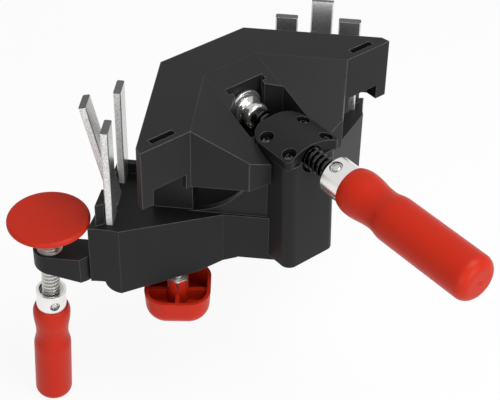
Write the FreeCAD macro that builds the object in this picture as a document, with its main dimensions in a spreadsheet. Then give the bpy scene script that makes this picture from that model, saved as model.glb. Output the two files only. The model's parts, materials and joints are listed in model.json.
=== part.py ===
import FreeCAD, Part
import os
import re
import Sketcher
from FreeCAD import Placement, Rotation, Vector

# Corner clamp. +Z is up. The origin is the rear corner of the base's flat top, where the rear faces
# of the two arms meet on the middle plane. The main screw runs along Y at x = 0. The work corner,
# where the two upright fence planes meet, lies beyond the base on +Y. Along an arm, u is the distance
# from the work corner along the fence and v the distance from the fence plane towards the jaw.

SIZES = {
    # Jaw: depths are measured from its nose, heights downwards from its top
    "jaw_gap": 19.85,
    "jaw_top": 74.25,
    "jaw_height": 42.5,
    "nose_half": 33.3,
    "tip_length": 6.2,
    "tip_inset": 1.0,
    "wing_depth": 71.9,
    "band_width": 29.55,
    "roof_angle": 30,
    "hood_half": 38,
    "hood_run": 26.1,
    "lip_proud": 1.4,
    "jaw_wall": 3.5,
    "jaw_plate": 4,
    "rib_thick": 3,
    "cell_pitch": 25.5,
    "cell_start": 75,
    "hood_cell_top": 27,
    "top_slot_end": 11.2,
    "top_slot_length": 17.5,
    "top_slot_inset": 3.9,
    "top_slot_width": 4.4,
    "foot_width": 8.5,
    "notch_length": 24.5,
    "notch_top": 31.5,
    "cell_outer_wall": 3.55,
    "edge_round": 1.0,
    # Slot of the screw's head in the jaw
    "head_depth": 44.15,
    "head_thick": 3.4,
    "head_radius": 10.6,
    "head_play": 0.35,
    "head_slot_half": 15,
    "neck_slot_half": 12,
    "neck_slot_depth": 50.3,
    "mouth_half": 21.9,
    "mouth_depth": 57.3,
    "slot_floor": 36.4,
    # Main screw: depths are measured from the jaw's nose
    "screw_height": 49.25,
    "screw_radius": 7,
    "stub_radius": 4.5,
    "neck_radius": 7.9,
    "neck_end_radius": 6,
    "neck_depth": 51,
    "collar_radius": 7.4,
    "collar_depth": 54.5,
    "collar_thick": 4.5,
    "collar_cup_radius": 5.9,
    "collar_cup_depth": 2.5,
    "thread_depth": 62,
    "ferrule_depth": 134,
    "ferrule_length": 28,
    "ferrule_radius": 12.5,
    "ferrule_wall": 2.2,
    "ferrule_mouth": 3,
    "pin_inset": 4.6,
    "pin_mouth": 4,
    "pin_shank": 2.5,
    "pin_seat": 1.5,
    "pin_angle": 21,
    "pin_sink": 0.7,
    "pin_dome": 0.6,
    "ferrule_show": 15.5,
    "handle_length": 106.5,
    "bulge_radius": 15.2,
    "waist_radius": 13.4,
    "grip_radius": 15,
    "bulge_place": 7.5,
    "waist_place": 26.5,
    "grip_start": 38.5,
    "handle_dimple": 2.5,
    "handle_round": 7,
    "handle_lip": 1.2,
    "tang_radius": 5.5,
    "tang_end": 50.5,
    "handle_play": 0.3,
    # Arms
    "arm_back": 87.35,
    "arm_front": 126.08,
    "arm_knee": 67.87,
    "arm_tip": 151.5,
    "arm_tip_start": 4.5,
    "arm_tip_round": 70,
    "arm_end": -15.4,
    "arm_end_back": -6.6,
    "belly_start": 78.4,
    "belly_start_height": -34.75,
    "belly_knee": 53.1,
    "belly_knee_height": -44.55,
    "belly_tip_height": -52.65,
    "belly_tip_round": 9.5,
    "belly_end": -6,
    "belly_end_height": -44.5,
    "ridge_front": 147.6,
    "ridge_skew": 3.2,
    "ridge_end": -10.6,
    "ridge_gap": 0.6,
    "ridge_height": 16.25,
    "rim_thick": 4,
    "rim_height": 8.25,
    "rim_inner": 43.4,
    "block_back": 103.35,
    "block_front": 122.75,
    "block_outer": 21.9,
    "block_inner": 47.9,
    "block_gap": 0.3,
    "gusset_back": 120.35,
    "gusset_front": 124.35,
    "gusset_start": 44,
    "gusset_knee": 81.5,
    "gusset_knee_height": 20.65,
    "gusset_round": 46,
    "gusset_top": 97.2,
    "gusset_top_height": 29.15,
    # Fence bars
    "bar_width": 15,
    "bar_thick": 4.8,
    "bar_round": 1.2,
    "bar_top": 71.5,
    "bar_seat": 8,
    "bar_near": 94.95,
    "bar_far": 137.7,
    "lean_place": 118.05,
    "lean_foot": -0.6,
    "lean_angle": 12.4,
    "lean_top": 75.5,
    "seat_gap": 0.05,
    # Post and its cap: depths are measured from the work corner
    "post_half": 20.2,
    "post_back": 133.87,
    "post_front": 174.87,
    "post_foot": 178.1,
    "post_bottom": -30.5,
    "post_top": 48.75,
    "post_round": 6.5,
    "cap_half": 20.9,
    "cap_front": 175.2,
    "cap_front_bow": 2.7,
    "cap_back_round": 14,
    "cap_front_round": 3,
    "cap_side_top": 54.55,
    "cap_crown": 58.45,
    "cap_gap": 0.1,
    "screw_clearance": 1.2,
    "post_run_play": 2.5,
    "nut_half": 12,
    "nut_bottom": 37,
    "nut_radius": 8.2,
    "nut_back": 139.5,
    "nut_front": 168,
    "thread_gap": 0.05,
    "cap_screw_x": 14.8,
    "cap_screw_back": 147.1,
    "cap_screw_front": 169,
    "cap_screw_recess": 4.5,
    "cap_screw_floor": 52,
    "cap_screw_head": 4,
    "cap_screw_head_height": 2.8,
    "cap_screw_shank": 2.2,
    "cap_screw_length": 14,
    # Bench clamp under the left arm
    "bench_place": 143.5,
    "bench_out": -43.4,
    "bench_lean": 3,
    "lean_pivot": -31,
    "plate_half": 10.6,
    "plate_corner": 6,
    "plate_taper": 9,
    "plate_top": -24.75,
    "plate_root_height": -44.75,
    "plate_end_height": -36.2,
    "bench_nut_radius": 8.5,
    "plate_nut_bottom": -38,
    "plate_nut_proud": 0.6,
    "bench_screw_radius": 6,
    "ball_height": -6.25,
    "ball_radius": 5.5,
    "journal_radius": 3.15,
    "stud_low": -19.4,
    "bench_thread_top": -11.4,
    "disc_radius": 26.8,
    "disc_top": 0.95,
    "disc_thick": 4.5,
    "disc_round": 2.0,
    "disc_boss_radius": 9,
    "disc_boss_bottom": -9.25,
    "ball_gap": 0.1,
    "bench_ferrule_top": -61.75,
    "bench_ferrule_length": 24,
    "bench_ferrule_radius": 10.1,
    "bench_ferrule_wall": 1.8,
    "bench_mouth": 4.6,
    "bench_pin_inset": 8,
    "bench_pin_mouth": 3.2,
    "bench_pin_shank": 2,
    "bench_pin_seat": 1.3,
    "bench_pin_sink": 0.6,
    "bench_pin_dome": 0.5,
    "bench_pin_angle": -18,
    "bench_ferrule_show": 14.25,
    "bench_handle_length": 83.25,
    "bench_bulge_radius": 12.6,
    "bench_waist_radius": 10.9,
    "bench_grip_radius": 12.65,
    "bench_bulge_place": 5.5,
    "bench_waist_place": 24.15,
    "bench_grip_start": 36.75,
    "bench_handle_lip": 0.9,
    "bench_handle_dimple": 2,
    "bench_handle_round": 6,
    "bench_tang_radius": 4.8,
    "bench_tang_end": 42.75,
    # Knob under the left arm: heights are measured from the arms' top
    "knob_x": 64.3,
    "knob_y": 118.17,
    "knob_turn": 51,
    "knob_half": 22.1,
    "knob_corner": 15,
    "knob_rim": -59.75,
    "knob_height": 22,
    "knob_draft": 4,
    "knob_round": 12,
    "knob_wall": 2.4,
    "knob_floor": 8,
    "knob_join": 1,
    "knob_hub_radius": 7.2,
    "knob_hub_top": -53.6,
    "knob_rib": 3,
    "knob_rib_drop": 5,
    "knob_bolt_radius": 4,
    "knob_bolt_top": -26,
    "knob_nut_flats": 13,
    "knob_nut_height": 6.5,
    "knob_washer_radius": 6.4,
    "knob_washer_thick": 1.6,
    "washer_play": 0.3,
    "bush_radius": 6.5,
    "bush_bottom": -46.3,
    "bush_top": -32,
    "bolt_well_top": -17,
    "bolt_play": 0.4,
}

HALF = 0.5 ** 0.5
HALF_ROOT = "sqrt(0.5)"
NOSE = "-(jaw_gap*sqrt(2) + nose_half)"
# Distance from the origin to the work corner
WORK_CORNER = "arm_back*sqrt(2)"
# Jaw: half its width at the wing tips, half the width of its throat, and depths of hood and lip
JAW_HALF = "(nose_half + wing_depth - tip_length + tip_inset)"
JAW_THROAT = "(nose_half + wing_depth - band_width*sqrt(2))"
HOOD_DEPTH = "(wing_depth + hood_run)"
LIP_DEPTH = "(wing_depth + hood_run + lip_proud)"
# Inner corner of the arms, inside the post
ARM_CORE = "((post_back + post_front)/2*sqrt(0.5))"
# Main screw: its rivet and the start of its handle, measured from the jaw's nose
PIN_DEPTH = "(ferrule_depth + pin_inset)"
HANDLE_START = "(ferrule_depth + ferrule_show)"
# Bench clamp: its screw leans outwards at its foot, about a point in the plate
LEAN_SIDEWAYS = "sin(bench_lean)*sqrt(0.5)"
BENCH_X = "((bench_out - bench_place)*sqrt(0.5) - lean_pivot*sin(bench_lean)*sqrt(0.5))"
BENCH_Y = "(lean_pivot*sin(bench_lean)*sqrt(0.5) - (bench_place + bench_out)*sqrt(0.5))"
BENCH_Z = "(lean_pivot - lean_pivot*cos(bench_lean))"
BENCH_PIN = "(bench_ferrule_top - bench_pin_inset)"
BENCH_HANDLE = "(bench_ferrule_top - bench_ferrule_show)"
# Lower end of the knob's bolt
BOLT_LOW = "(knob_rim - knob_height + knob_floor/2)"

doc = FreeCAD.newDocument("corner_clamp")
sheet = doc.addObject("Spreadsheet::Sheet", "sizes")
nodes = {}


def fill_sheet():
    """Write each driving dimension into the sheet under its own alias."""
    for row, (name, size) in enumerate(SIZES.items(), start=1):
        sheet.set("A%d" % row, name)
        sheet.set("B%d" % row, str(size))
        sheet.setAlias("B%d" % row, name)
    doc.recompute()


def formula(text):
    """Sheet formula of an expression that is written with bare size names."""
    return re.sub(r"[a-z_]+", lambda word: "sizes." + word[0] if word[0] in SIZES else word[0], text)


def value(text):
    """Number that an expression has at present."""
    return float(sheet.evalExpression(formula(text).replace("sizes.", "")))


def bind(thing, name, text):
    """Tie one property to an expression of the sheet."""
    thing.setExpression(name, formula(text))


def new_body(label):
    """Empty body on the work corner; its label is the node's name."""
    body = doc.addObject("PartDesign::Body", label)
    body.Label = label
    place(body)
    return body


def place(thing, x="0", y="0", z="0", axis=(0, 0, 1), turn="0"):
    """Put a body at a bound place from the work corner, turned about an axis through that place."""
    thing.Placement = Placement(Vector(0, 0, 0), Rotation(Vector(*axis), 1))
    bind(thing, "Placement.Rotation.Angle", turn)
    for letter, text in (("x", x), ("y", "(%s) + %s" % (y, WORK_CORNER)), ("z", z)):
        bind(thing, "Placement.Base." + letter, text)


def new_sketch(body, name, role="XY_Plane", shift="0", turn="0"):
    """Sketch on an origin plane that is turned about Z and then shifted along its own normal."""
    sketch = body.newObject("Sketcher::SketchObject", name)
    sketch.AttachmentSupport = [(next(f for f in body.Origin.OriginFeatures if f.Role == role), "")]
    sketch.MapMode = "FlatFace"
    flat = role == "XY_Plane"
    axis = Vector(0, 0, 1) if flat else Vector(0, 1, 0)
    sketch.AttachmentOffset = Placement(Vector(0, 0, 0), Rotation(axis, 1))
    bind(sketch, "AttachmentOffset.Rotation.Angle", turn)
    if flat:
        bind(sketch, "AttachmentOffset.Base.z", shift)
    else:
        bind(sketch, "AttachmentOffset.Base.x", "(%s)*sin(%s)" % (shift, turn))
        bind(sketch, "AttachmentOffset.Base.z", "(%s)*cos(%s)" % (shift, turn))
    return sketch


def pin_point(sketch, curve, end, x, y):
    """Fix one end of a curve at bound coordinates of the sketch."""
    for kind, text in (("DistanceX", x), ("DistanceY", y)):
        index = sketch.addConstraint(Sketcher.Constraint(kind, -1, 1, curve, end, value(text)))
        bind(sketch, "Constraints[%d]" % index, text)


def arc_between(start, end, radius):
    """Arc from start to end: anticlockwise for a positive radius, clockwise for a negative one."""
    chord = end - start
    rise = max(radius * radius - chord.Length ** 2 / 4, 0.0) ** 0.5
    side = 1 if radius > 0 else -1
    centre = (start + end) * 0.5 + Vector(-chord.y, chord.x, 0).normalize() * rise * side
    first, last = (start, end) if side > 0 else (end, start)
    circle = Part.Circle(centre, Vector(0, 0, 1), abs(radius))
    return Part.ArcOfCircle(circle, circle.parameter(first), circle.parameter(last))


def draw(sketch, points):
    """Closed outline. A point is (x, y), or (x, y, radius) where an arc ends at it."""
    spots = [Vector(value(point[0]), value(point[1]), 0) for point in points]
    ends = []
    for index, point in enumerate(points):
        start, end = spots[index - 1], spots[index]
        if len(point) == 2:
            sketch.addGeometry(Part.LineSegment(start, end), False)
            ends.append((1, 2))
        else:
            radius = value(point[2])
            sketch.addGeometry(arc_between(start, end, radius), False)
            ends.append((1, 2) if radius > 0 else (2, 1))
    for index, point in enumerate(points):
        following = (index + 1) % len(points)
        sketch.addConstraint(
            Sketcher.Constraint("Coincident", index, ends[index][1], following, ends[following][0]))
        pin_point(sketch, index, ends[index][1], point[0], point[1])
        if len(point) == 3:
            radius = Sketcher.Constraint("Radius", index, abs(value(point[2])))
            bind(sketch, "Constraints[%d]" % sketch.addConstraint(radius), "abs(%s)" % point[2])
    return sketch


def draw_circle(sketch, radius, x="0", y="0"):
    """Circle with a bound radius and centre."""
    centre = Vector(value(x), value(y), 0)
    curve = sketch.addGeometry(Part.Circle(centre, Vector(0, 0, 1), value(radius)), False)
    index = sketch.addConstraint(Sketcher.Constraint("Radius", curve, value(radius)))
    bind(sketch, "Constraints[%d]" % index, radius)
    pin_point(sketch, curve, 3, x, y)
    return sketch


def draw_box(sketch, x_low, x_high, y_low, y_high):
    """Rectangle between bound limits."""
    return draw(sketch, [(x_low, y_low), (x_high, y_low), (x_high, y_high), (x_low, y_high)])


def extrude(body, kind, sketch, length, down=False, both=False):
    """Pad or Pocket of a bound length; down turns it against its own usual direction."""
    feature = body.newObject("PartDesign::" + kind, sketch.Name + "_" + kind.lower())
    feature.Profile = sketch
    feature.SideType = "Symmetric" if both else "One side"
    feature.Reversed = down
    bind(feature, "Length", length)
    return feature


def pad(body, sketch, length, down=False, both=False):
    """Material along the sketch's normal, or against it with down."""
    return extrude(body, "Pad", sketch, length, down, both)


def pocket(body, sketch, length, up=False, both=False):
    """Cut against the sketch's normal, or along it with up."""
    return extrude(body, "Pocket", sketch, length, up, both)


def slant(feature, x, y, z):
    """Give an extrusion a bound direction of its own."""
    feature.UseCustomVector = True
    feature.AlongSketchNormal = False
    for letter, text in zip("xyz", (x, y, z)):
        bind(feature, "Direction." + letter, text)


def revolve(body, sketch):
    """Full turn about the sketch's own vertical axis."""
    feature = body.newObject("PartDesign::Revolution", sketch.Name + "_turned")
    feature.Profile = sketch
    feature.ReferenceAxis = (sketch, ["V_Axis"])
    feature.Angle = 360
    return feature


def round_edges(body, kind, size, chosen):
    """Fillet or Chamfer of the edges of the body's last feature for which chosen(edge) is true."""
    doc.recompute()
    base = body.Tip
    names = ["Edge%d" % (i + 1) for i, edge in enumerate(base.Shape.Edges) if chosen(edge)]
    feature = body.newObject("PartDesign::" + kind, body.Name + "_" + kind.lower())
    feature.Base = (base, names)
    bind(feature, "Radius" if kind == "Fillet" else "Size", size)
    return feature


def finish(body, name=None):
    """Keep an object as a node of the assembly."""
    nodes[name or body.Label] = body
    return body


def upright(edge):
    """True for a straight edge that runs nearly along Z."""
    low, high = edge.Vertexes[0].Point, edge.Vertexes[-1].Point
    return edge.Curve.TypeId == "Part::GeomLine" and abs(high.z - low.z) > 0.995 * edge.Length


def side_name(side):
    """Name of the side: -1 is left, 1 is right."""
    return "left" if side < 0 else "right"


def side_turn(side):
    """Angle that turns a sketch's own axes to run outwards along the arm."""
    return "225" if side < 0 else "-45"


def across(side, text):
    """Coordinate across the arm, positive towards the jaw on either side."""
    return text if side < 0 else "-(%s)" % text


def swell(start, end):
    """Two equal arcs that carry a turned profile smoothly between two (radius, height) points."""
    rise = "((%s) - (%s))" % (end[0], start[0])
    run = "((%s) - (%s))" % (end[1], start[1])
    bend = "(%s^2 + %s^2)/(4*abs(%s))" % (rise, run, rise)
    first, second = ("-" + bend, bend) if value(rise) * value(run) > 0 else (bend, "-" + bend)
    middle = ("((%s) + (%s))/2" % (start[0], end[0]), "((%s) + (%s))/2" % (start[1], end[1]))
    return [middle + (first,), end + (second,)]


def clamp_jaw():
    """V-shaped jaw, open below, with the slot that holds the screw's head."""
    jaw = new_body("clamp_jaw")
    place(jaw, y=NOSE, z="jaw_top")
    right = [("nose_half", "0"), (JAW_HALF + " - tip_inset", "tip_length - wing_depth"),
             (JAW_HALF, "-wing_depth"), (JAW_THROAT, "-wing_depth"),
             ("hood_half", "-(wing_depth + %s - hood_half)" % JAW_THROAT), ("hood_half", "-" + HOOD_DEPTH),
             ("mouth_half", "-" + LIP_DEPTH)]
    left = [("-(%s)" % x, y) for x, y in reversed(right)]
    pad(jaw, draw(new_sketch(jaw, "jaw_plan"), right + left), "jaw_height", down=True)
    jaw_roof(jaw)
    jaw_head_slot(jaw)
    for side in (-1, 1):
        jaw_cells(jaw, side)
    round_edges(jaw, "Fillet", "edge_round", jaw_corner)
    return finish(jaw)


def jaw_roof(jaw):
    """Fall of the roof behind the flat band: a middle slope, and one mitred to it on each side."""
    ridge = "(nose_half - band_width*tan(22.5))"
    start = "-(wing_depth - (%s - %s))" % (JAW_THROAT, ridge)
    run = "(%s + 5)" % LIP_DEPTH
    fall = "(-(%s + %s)*tan(roof_angle)*%s)" % (run, start, HALF_ROOT)
    points = [(start, "0"), ("-" + run, fall), ("-" + run, "5"), (start, "5")]
    for name, shift, length, sideways in (
            ("left", "-" + ridge, "2*" + JAW_HALF, "-1"),
            ("middle", ridge, "2*" + ridge, None),
            ("right", ridge, "2*" + JAW_HALF, "1")):
        sketch = draw(new_sketch(jaw, "roof_" + name, "YZ_Plane", shift), points)
        cut = pocket(jaw, sketch, length)
        if sideways:
            slant(cut, sideways, "-1", "0")


def jaw_head_slot(jaw):
    """T-slot for the screw's head, its neck slot and the mouth that straddles post and cap."""
    back = "-(head_depth - head_play)"
    front = "-(head_depth + head_thick + head_play)"
    half = [("head_slot_half", back), ("head_slot_half", front), ("neck_slot_half", front),
            ("neck_slot_half", "-neck_slot_depth"), ("mouth_half", "-mouth_depth"),
            ("mouth_half", "-mouth_depth - 1")]
    mirrored = [("-" + x, y) for x, y in reversed(half)]
    pocket(jaw, draw(new_sketch(jaw, "head_slot"), half + mirrored), "slot_floor")
    mouth = draw_box(new_sketch(jaw, "mouth"), "-mouth_half", "mouth_half", "-%s - 1" % LIP_DEPTH, "-mouth_depth")
    pocket(jaw, mouth, "jaw_height")


def jaw_cells(jaw, side):
    """Hollow wing and hood of one side, open below, with ribs across the wing, slot and notch."""
    name, turn = side_name(side), side_turn(side)
    outer = "(jaw_gap + cell_outer_wall)"
    inner = "(jaw_gap + band_width - rib_thick - 2)"
    sum_end = "(sqrt(2)*(wing_depth - jaw_wall + jaw_gap*sqrt(2) + nose_half))"
    foot = "(%s - foot_width)" % JAW_HALF
    along = "(sqrt(2)*%s)" % foot
    wing = [("cell_start", outer), ("cell_start", inner), (sum_end + " - " + inner, inner),
            ("(%s + %s)/2" % (sum_end, along), "(%s - %s)/2" % (sum_end, along)),
            ("%s + %s" % (along, outer), outer)]
    wing = [(u, across(side, v)) for u, v in wing]
    depth = "(jaw_height - jaw_plate)"
    sketch = new_sketch(jaw, "wing_cell_" + name, shift="-jaw_height", turn=turn)
    bind(sketch, "AttachmentOffset.Base.y", "-(%s)" % NOSE)
    pocket(jaw, draw(sketch, wing), depth, up=True)
    for number in (1, 2):
        middle = "(cell_start + %d*cell_pitch)" % number
        rib = new_sketch(jaw, "wing_rib_%s_%d" % (name, number), shift="-jaw_height", turn=turn)
        bind(rib, "AttachmentOffset.Base.y", "-(%s)" % NOSE)
        limits = sorted((across(side, outer + " - 1"), across(side, inner + " + 1")), key=value)
        draw_box(rib, middle + " - rib_thick/2", middle + " + rib_thick/2", *limits)
        pad(jaw, rib, depth + " + 1")
    reach = JAW_HALF + " - top_slot_end"
    limits = sorted(("%d*(%s)" % (side, reach), "%d*(%s - top_slot_length)" % (side, reach)), key=value)
    slot = draw_box(new_sketch(jaw, "top_slot_" + name), *limits,
                    "top_slot_inset - wing_depth", "top_slot_inset + top_slot_width - wing_depth")
    pocket(jaw, slot, "2*jaw_plate")
    limits = sorted(("%d*%s" % (side, foot), "%d*(%s - notch_length)" % (side, foot)), key=value)
    notch = draw_box(new_sketch(jaw, "notch_" + name, "XZ_Plane", "wing_depth + 1"), *limits,
                     "-jaw_height", "-notch_top")
    pocket(jaw, notch, "jaw_wall + 2")
    hood = [("mouth_half + jaw_wall", "-(mouth_depth + jaw_wall)"),
            ("mouth_half + jaw_wall", "-(%s - jaw_wall)" % HOOD_DEPTH),
            ("hood_half - 1", "-(%s - jaw_wall)" % HOOD_DEPTH),
            (JAW_THROAT + " - jaw_wall*sqrt(2)", "-wing_depth"),
            ("mouth_half + jaw_wall + wing_depth - mouth_depth", "-(mouth_depth + jaw_wall)")]
    hood = [(x if side > 0 else "-(%s)" % x, y) for x, y in hood]
    pocket(jaw, draw(new_sketch(jaw, "hood_cell_" + name, shift="-jaw_height"), hood),
           "jaw_height - hood_cell_top", up=True)


def jaw_corner(edge):
    """Top edges of the jaw's outer faces."""
    ends = [vertex.Point for vertex in edge.Vertexes]
    nose = value("-wing_depth + 1")
    return (len(ends) == 2 and all(abs(p.z) < 1e-6 for p in ends) and all(p.y > nose for p in ends)
            and all(abs(p.x) + p.y > value("nose_half") - 1e-3 or abs(p.y) < 1e-6 for p in ends)
            and all(abs(abs(p.x) - p.y - value("nose_half")) < 1e-3 or abs(p.y) < 1e-6 for p in ends))


def base_frame():
    """Base casting: two arms with bar ridges, centre post, gussets and the bench-clamp plate."""
    base = new_body("base_frame")
    for side in (-1, 1):
        arm(base, side)
    for side in (-1, 1):
        arm_belly(base, side)
    for side in (-1, 1):
        arm_top(base, side)
    centre_post(base)
    for side in (-1, 1):
        bar_sockets(base, side)
    knob_well(base)
    bench_plate(base)
    return finish(base)


def arm(base, side):
    """Plan of one arm, from the middle plane to its slanted outer end."""
    plan = [("arm_back", "arm_back"), (ARM_CORE, ARM_CORE),
            ("arm_front", "arm_front - sqrt(2)*(post_half - 3)"), ("arm_front", "arm_knee"),
            ("arm_tip", "arm_tip_start"), ("arm_tip - 0.6", "arm_end", "arm_tip_round"),
            ("arm_back", "arm_end_back")]
    if side > 0:
        plan = [(p[0], across(side, p[1])) + tuple("-" + r for r in p[2:]) for p in plan]
    sketch = new_sketch(base, "arm_plan_" + side_name(side), turn=side_turn(side))
    pad(base, draw(sketch, plan), "-belly_tip_height", down=True)


def arm_belly(base, side):
    """Rising underside of one arm."""
    deep = "belly_tip_height - 5"
    belly = [("arm_front + 10", deep), ("arm_front + 10", "belly_start_height"),
             ("belly_start", "belly_start_height"), ("belly_knee", "belly_knee_height"),
             ("arm_tip_start", "belly_tip_height"), ("belly_end", "belly_end_height", "-belly_tip_round"),
             ("arm_end - 5", "belly_end_height"), ("arm_end - 5", deep)]
    if side > 0:
        belly = [(across(side, p[0]), p[1]) + tuple(r.replace("-", "") for r in p[2:]) for p in belly]
    sketch = new_sketch(base, "belly_" + side_name(side), "YZ_Plane", "arm_back - 10", side_turn(side))
    pocket(base, draw(sketch, belly), "arm_tip - arm_back + 20", up=True)


def arm_top(base, side):
    """Ridge behind the bars, rear rim, support block and gusset of one arm."""
    name, turn = side_name(side), side_turn(side)
    face = "(-bar_thick - ridge_gap)"
    lug = "(bar_far - bar_width/2)"
    lug_end = "(ridge_end + (ridge_front - %s)*(arm_end_back - ridge_end)/(ridge_front - arm_back))" % lug
    for label, height, ridge in (
            ("low", "rim_height", [("arm_back", face), (lug, face), (lug, lug_end), ("arm_back", "arm_end_back")]),
            ("high", "ridge_height", [(lug, face), ("ridge_front - ridge_skew", face),
                                      ("ridge_front", "ridge_end"), (lug, lug_end)])):
        ridge = [(u, across(side, v)) for u, v in ridge]
        pad(base, draw(new_sketch(base, "ridge_%s_%s" % (label, name), turn=turn), ridge), height)
    limits = sorted((across(side, "arm_end_back"), across(side, "rim_inner")), key=value)
    rim = draw_box(new_sketch(base, "rim_" + name, turn=turn), "arm_back", "arm_back + rim_thick", *limits)
    pad(base, rim, "rim_height")
    limits = sorted((across(side, "block_outer"), across(side, "block_inner")), key=value)
    block = draw_box(new_sketch(base, "block_" + name, turn=turn), "block_back", "block_front", *limits)
    pad(base, block, "jaw_top - jaw_height - block_gap")
    gusset = [("gusset_start", "-1"), ("gusset_start", "0"),
              ("gusset_knee", "gusset_knee_height", "gusset_round"), ("gusset_top", "gusset_top_height"),
              ("gusset_top + 8", "gusset_top_height"), ("gusset_top + 8", "-1")]
    if side > 0:
        gusset = [(across(side, p[0]), p[1]) + tuple("-" + r for r in p[2:]) for p in gusset]
    sketch = new_sketch(base, "gusset_" + name, "YZ_Plane", "gusset_back", turn)
    pad(base, draw(sketch, gusset), "gusset_front - gusset_back")


def centre_post(base):
    """Post with a leaning front, rounded corners and the seat of the screw's nut."""
    profile = [("-post_back", "post_bottom"), ("-post_foot", "post_bottom"), ("-post_front", "post_top"),
               ("-post_back", "post_top")]
    sketch = draw(new_sketch(base, "post_side", "YZ_Plane"), profile)
    pad(base, sketch, "2*post_half", both=True)
    front = value("-post_front")
    round_edges(base, "Fillet", "post_round", lambda edge: upright(edge) and edge.CenterOfMass.z > 0
                and edge.CenterOfMass.y < front + 1 and abs(edge.CenterOfMass.x) > 15)
    nut = draw(new_sketch(base, "nut_seat", "XZ_Plane", "nut_back - cap_gap"), nut_section("cap_gap"))
    pocket(base, nut, "nut_front - nut_back + 2*cap_gap", up=True)
    run = draw_circle(new_sketch(base, "screw_run", "XZ_Plane", "post_back - 10"),
                      "screw_radius + post_run_play", y="screw_height")
    pocket(base, run, "post_foot - post_back + 20", up=True)
    for x, y in cap_screw_places():
        hole = draw_circle(new_sketch(base, "screw_hole", shift="post_top"), "cap_screw_shank + seat_gap", x, y)
        pocket(base, hole, "cap_screw_length")


def bar_sockets(base, side):
    """Two upright sockets and one leaning one for the bars of one arm."""
    name, turn = side_name(side), side_turn(side)
    limits = sorted((across(side, "-bar_thick - seat_gap"), across(side, "seat_gap")), key=value)
    for which in ("near", "far"):
        socket = new_sketch(base, "socket_%s_%s" % (name, which), shift="rim_height", turn=turn)
        middle = "bar_" + which
        draw_box(socket, middle + " - bar_width/2 - seat_gap", middle + " + bar_width/2 + seat_gap", *limits)
        pocket(base, socket, "rim_height + bar_seat + seat_gap")
    top = "(ridge_height + 1)"
    foot = "(lean_foot - %s*tan(lean_angle))" % top
    limits = (foot + " - bar_thick/cos(lean_angle) - seat_gap", foot + " + seat_gap")
    limits = sorted((across(side, limits[0]), across(side, limits[1])), key=value)
    socket = new_sketch(base, "socket_%s_lean" % name, shift=top, turn=turn)
    draw_box(socket, "lean_place - bar_width/2 - seat_gap", "lean_place + bar_width/2 + seat_gap", *limits)
    cut = pocket(base, socket, "(%s + bar_seat)/cos(lean_angle) + bar_thick*tan(lean_angle) + seat_gap" % top)
    slant(cut, "%d*sin(lean_angle)*%s" % (-side, HALF_ROOT), "-sin(lean_angle)*%s" % HALF_ROOT,
          "-cos(lean_angle)")


def knob_well(base):
    """Seat of the knob's threaded bush and the well that the bolt rises into."""
    seat = draw_circle(new_sketch(base, "bush_seat", shift="bush_top + seat_gap"),
                       "bush_radius + seat_gap", "-knob_x", "-knob_y")
    pocket(base, seat, "bush_top - belly_tip_height")
    well = draw_circle(new_sketch(base, "bolt_well", shift="bolt_well_top"),
                       "knob_bolt_radius + bolt_play", "-knob_x", "-knob_y")
    pocket(base, well, "bolt_well_top - belly_tip_height")


def bench_plate(base):
    """Plate beside the left arm's end, with a round end about the bench clamp's screw."""
    near, far = "bench_place - plate_half", "bench_place + plate_half"
    plan = [(near, "arm_end + plate_corner"), (near, "bench_out"),
            ("bench_place", "bench_out - plate_half", "plate_half"), (far, "bench_out", "plate_half"),
            (far, "arm_end - plate_corner"), (far + " - plate_taper", "arm_end - plate_corner + plate_taper")]
    sketch = new_sketch(base, "plate_plan", shift="plate_top", turn=side_turn(-1))
    pad(base, draw(sketch, plan), "plate_top - plate_root_height", down=True)
    end = "bench_out - plate_half - 2"
    belly = [("arm_end - 3", "plate_root_height"), ("arm_end - 3", "plate_root_height - 1"),
             (end, "plate_root_height - 1"), (end, "plate_end_height")]
    sketch = new_sketch(base, "plate_belly", "YZ_Plane", "bench_place - 2*plate_half", side_turn(-1))
    pocket(base, draw(sketch, belly), "4*plate_half", up=True)
    bore = draw_circle(new_sketch(base, "plate_bore", shift="plate_top", turn=side_turn(-1)),
                       "bench_nut_radius + seat_gap", "bench_place",
                       "bench_out + (plate_top - lean_pivot)*tan(bench_lean)")
    cut = pocket(base, bore, "2*(plate_top - plate_root_height)")
    slant(cut, "-" + LEAN_SIDEWAYS, LEAN_SIDEWAYS, "-cos(bench_lean)")


def nut_section(gap="0"):
    """Section of the screw's nut: square below, round over the screw."""
    half, low, over = "nut_half + " + gap, "nut_bottom - " + gap, "nut_radius + " + gap
    return [("-(%s)" % half, low), (half, low), (half, "screw_height"), (over, "screw_height"),
            ("0", "screw_height + " + over, over), ("-(%s)" % over, "screw_height", over),
            ("-(%s)" % half, "screw_height")]


def cap_screw_places():
    """Places of the cap's four screws."""
    return [(x, y) for x in ("-cap_screw_x", "cap_screw_x") for y in ("-cap_screw_back", "-cap_screw_front")]


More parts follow.
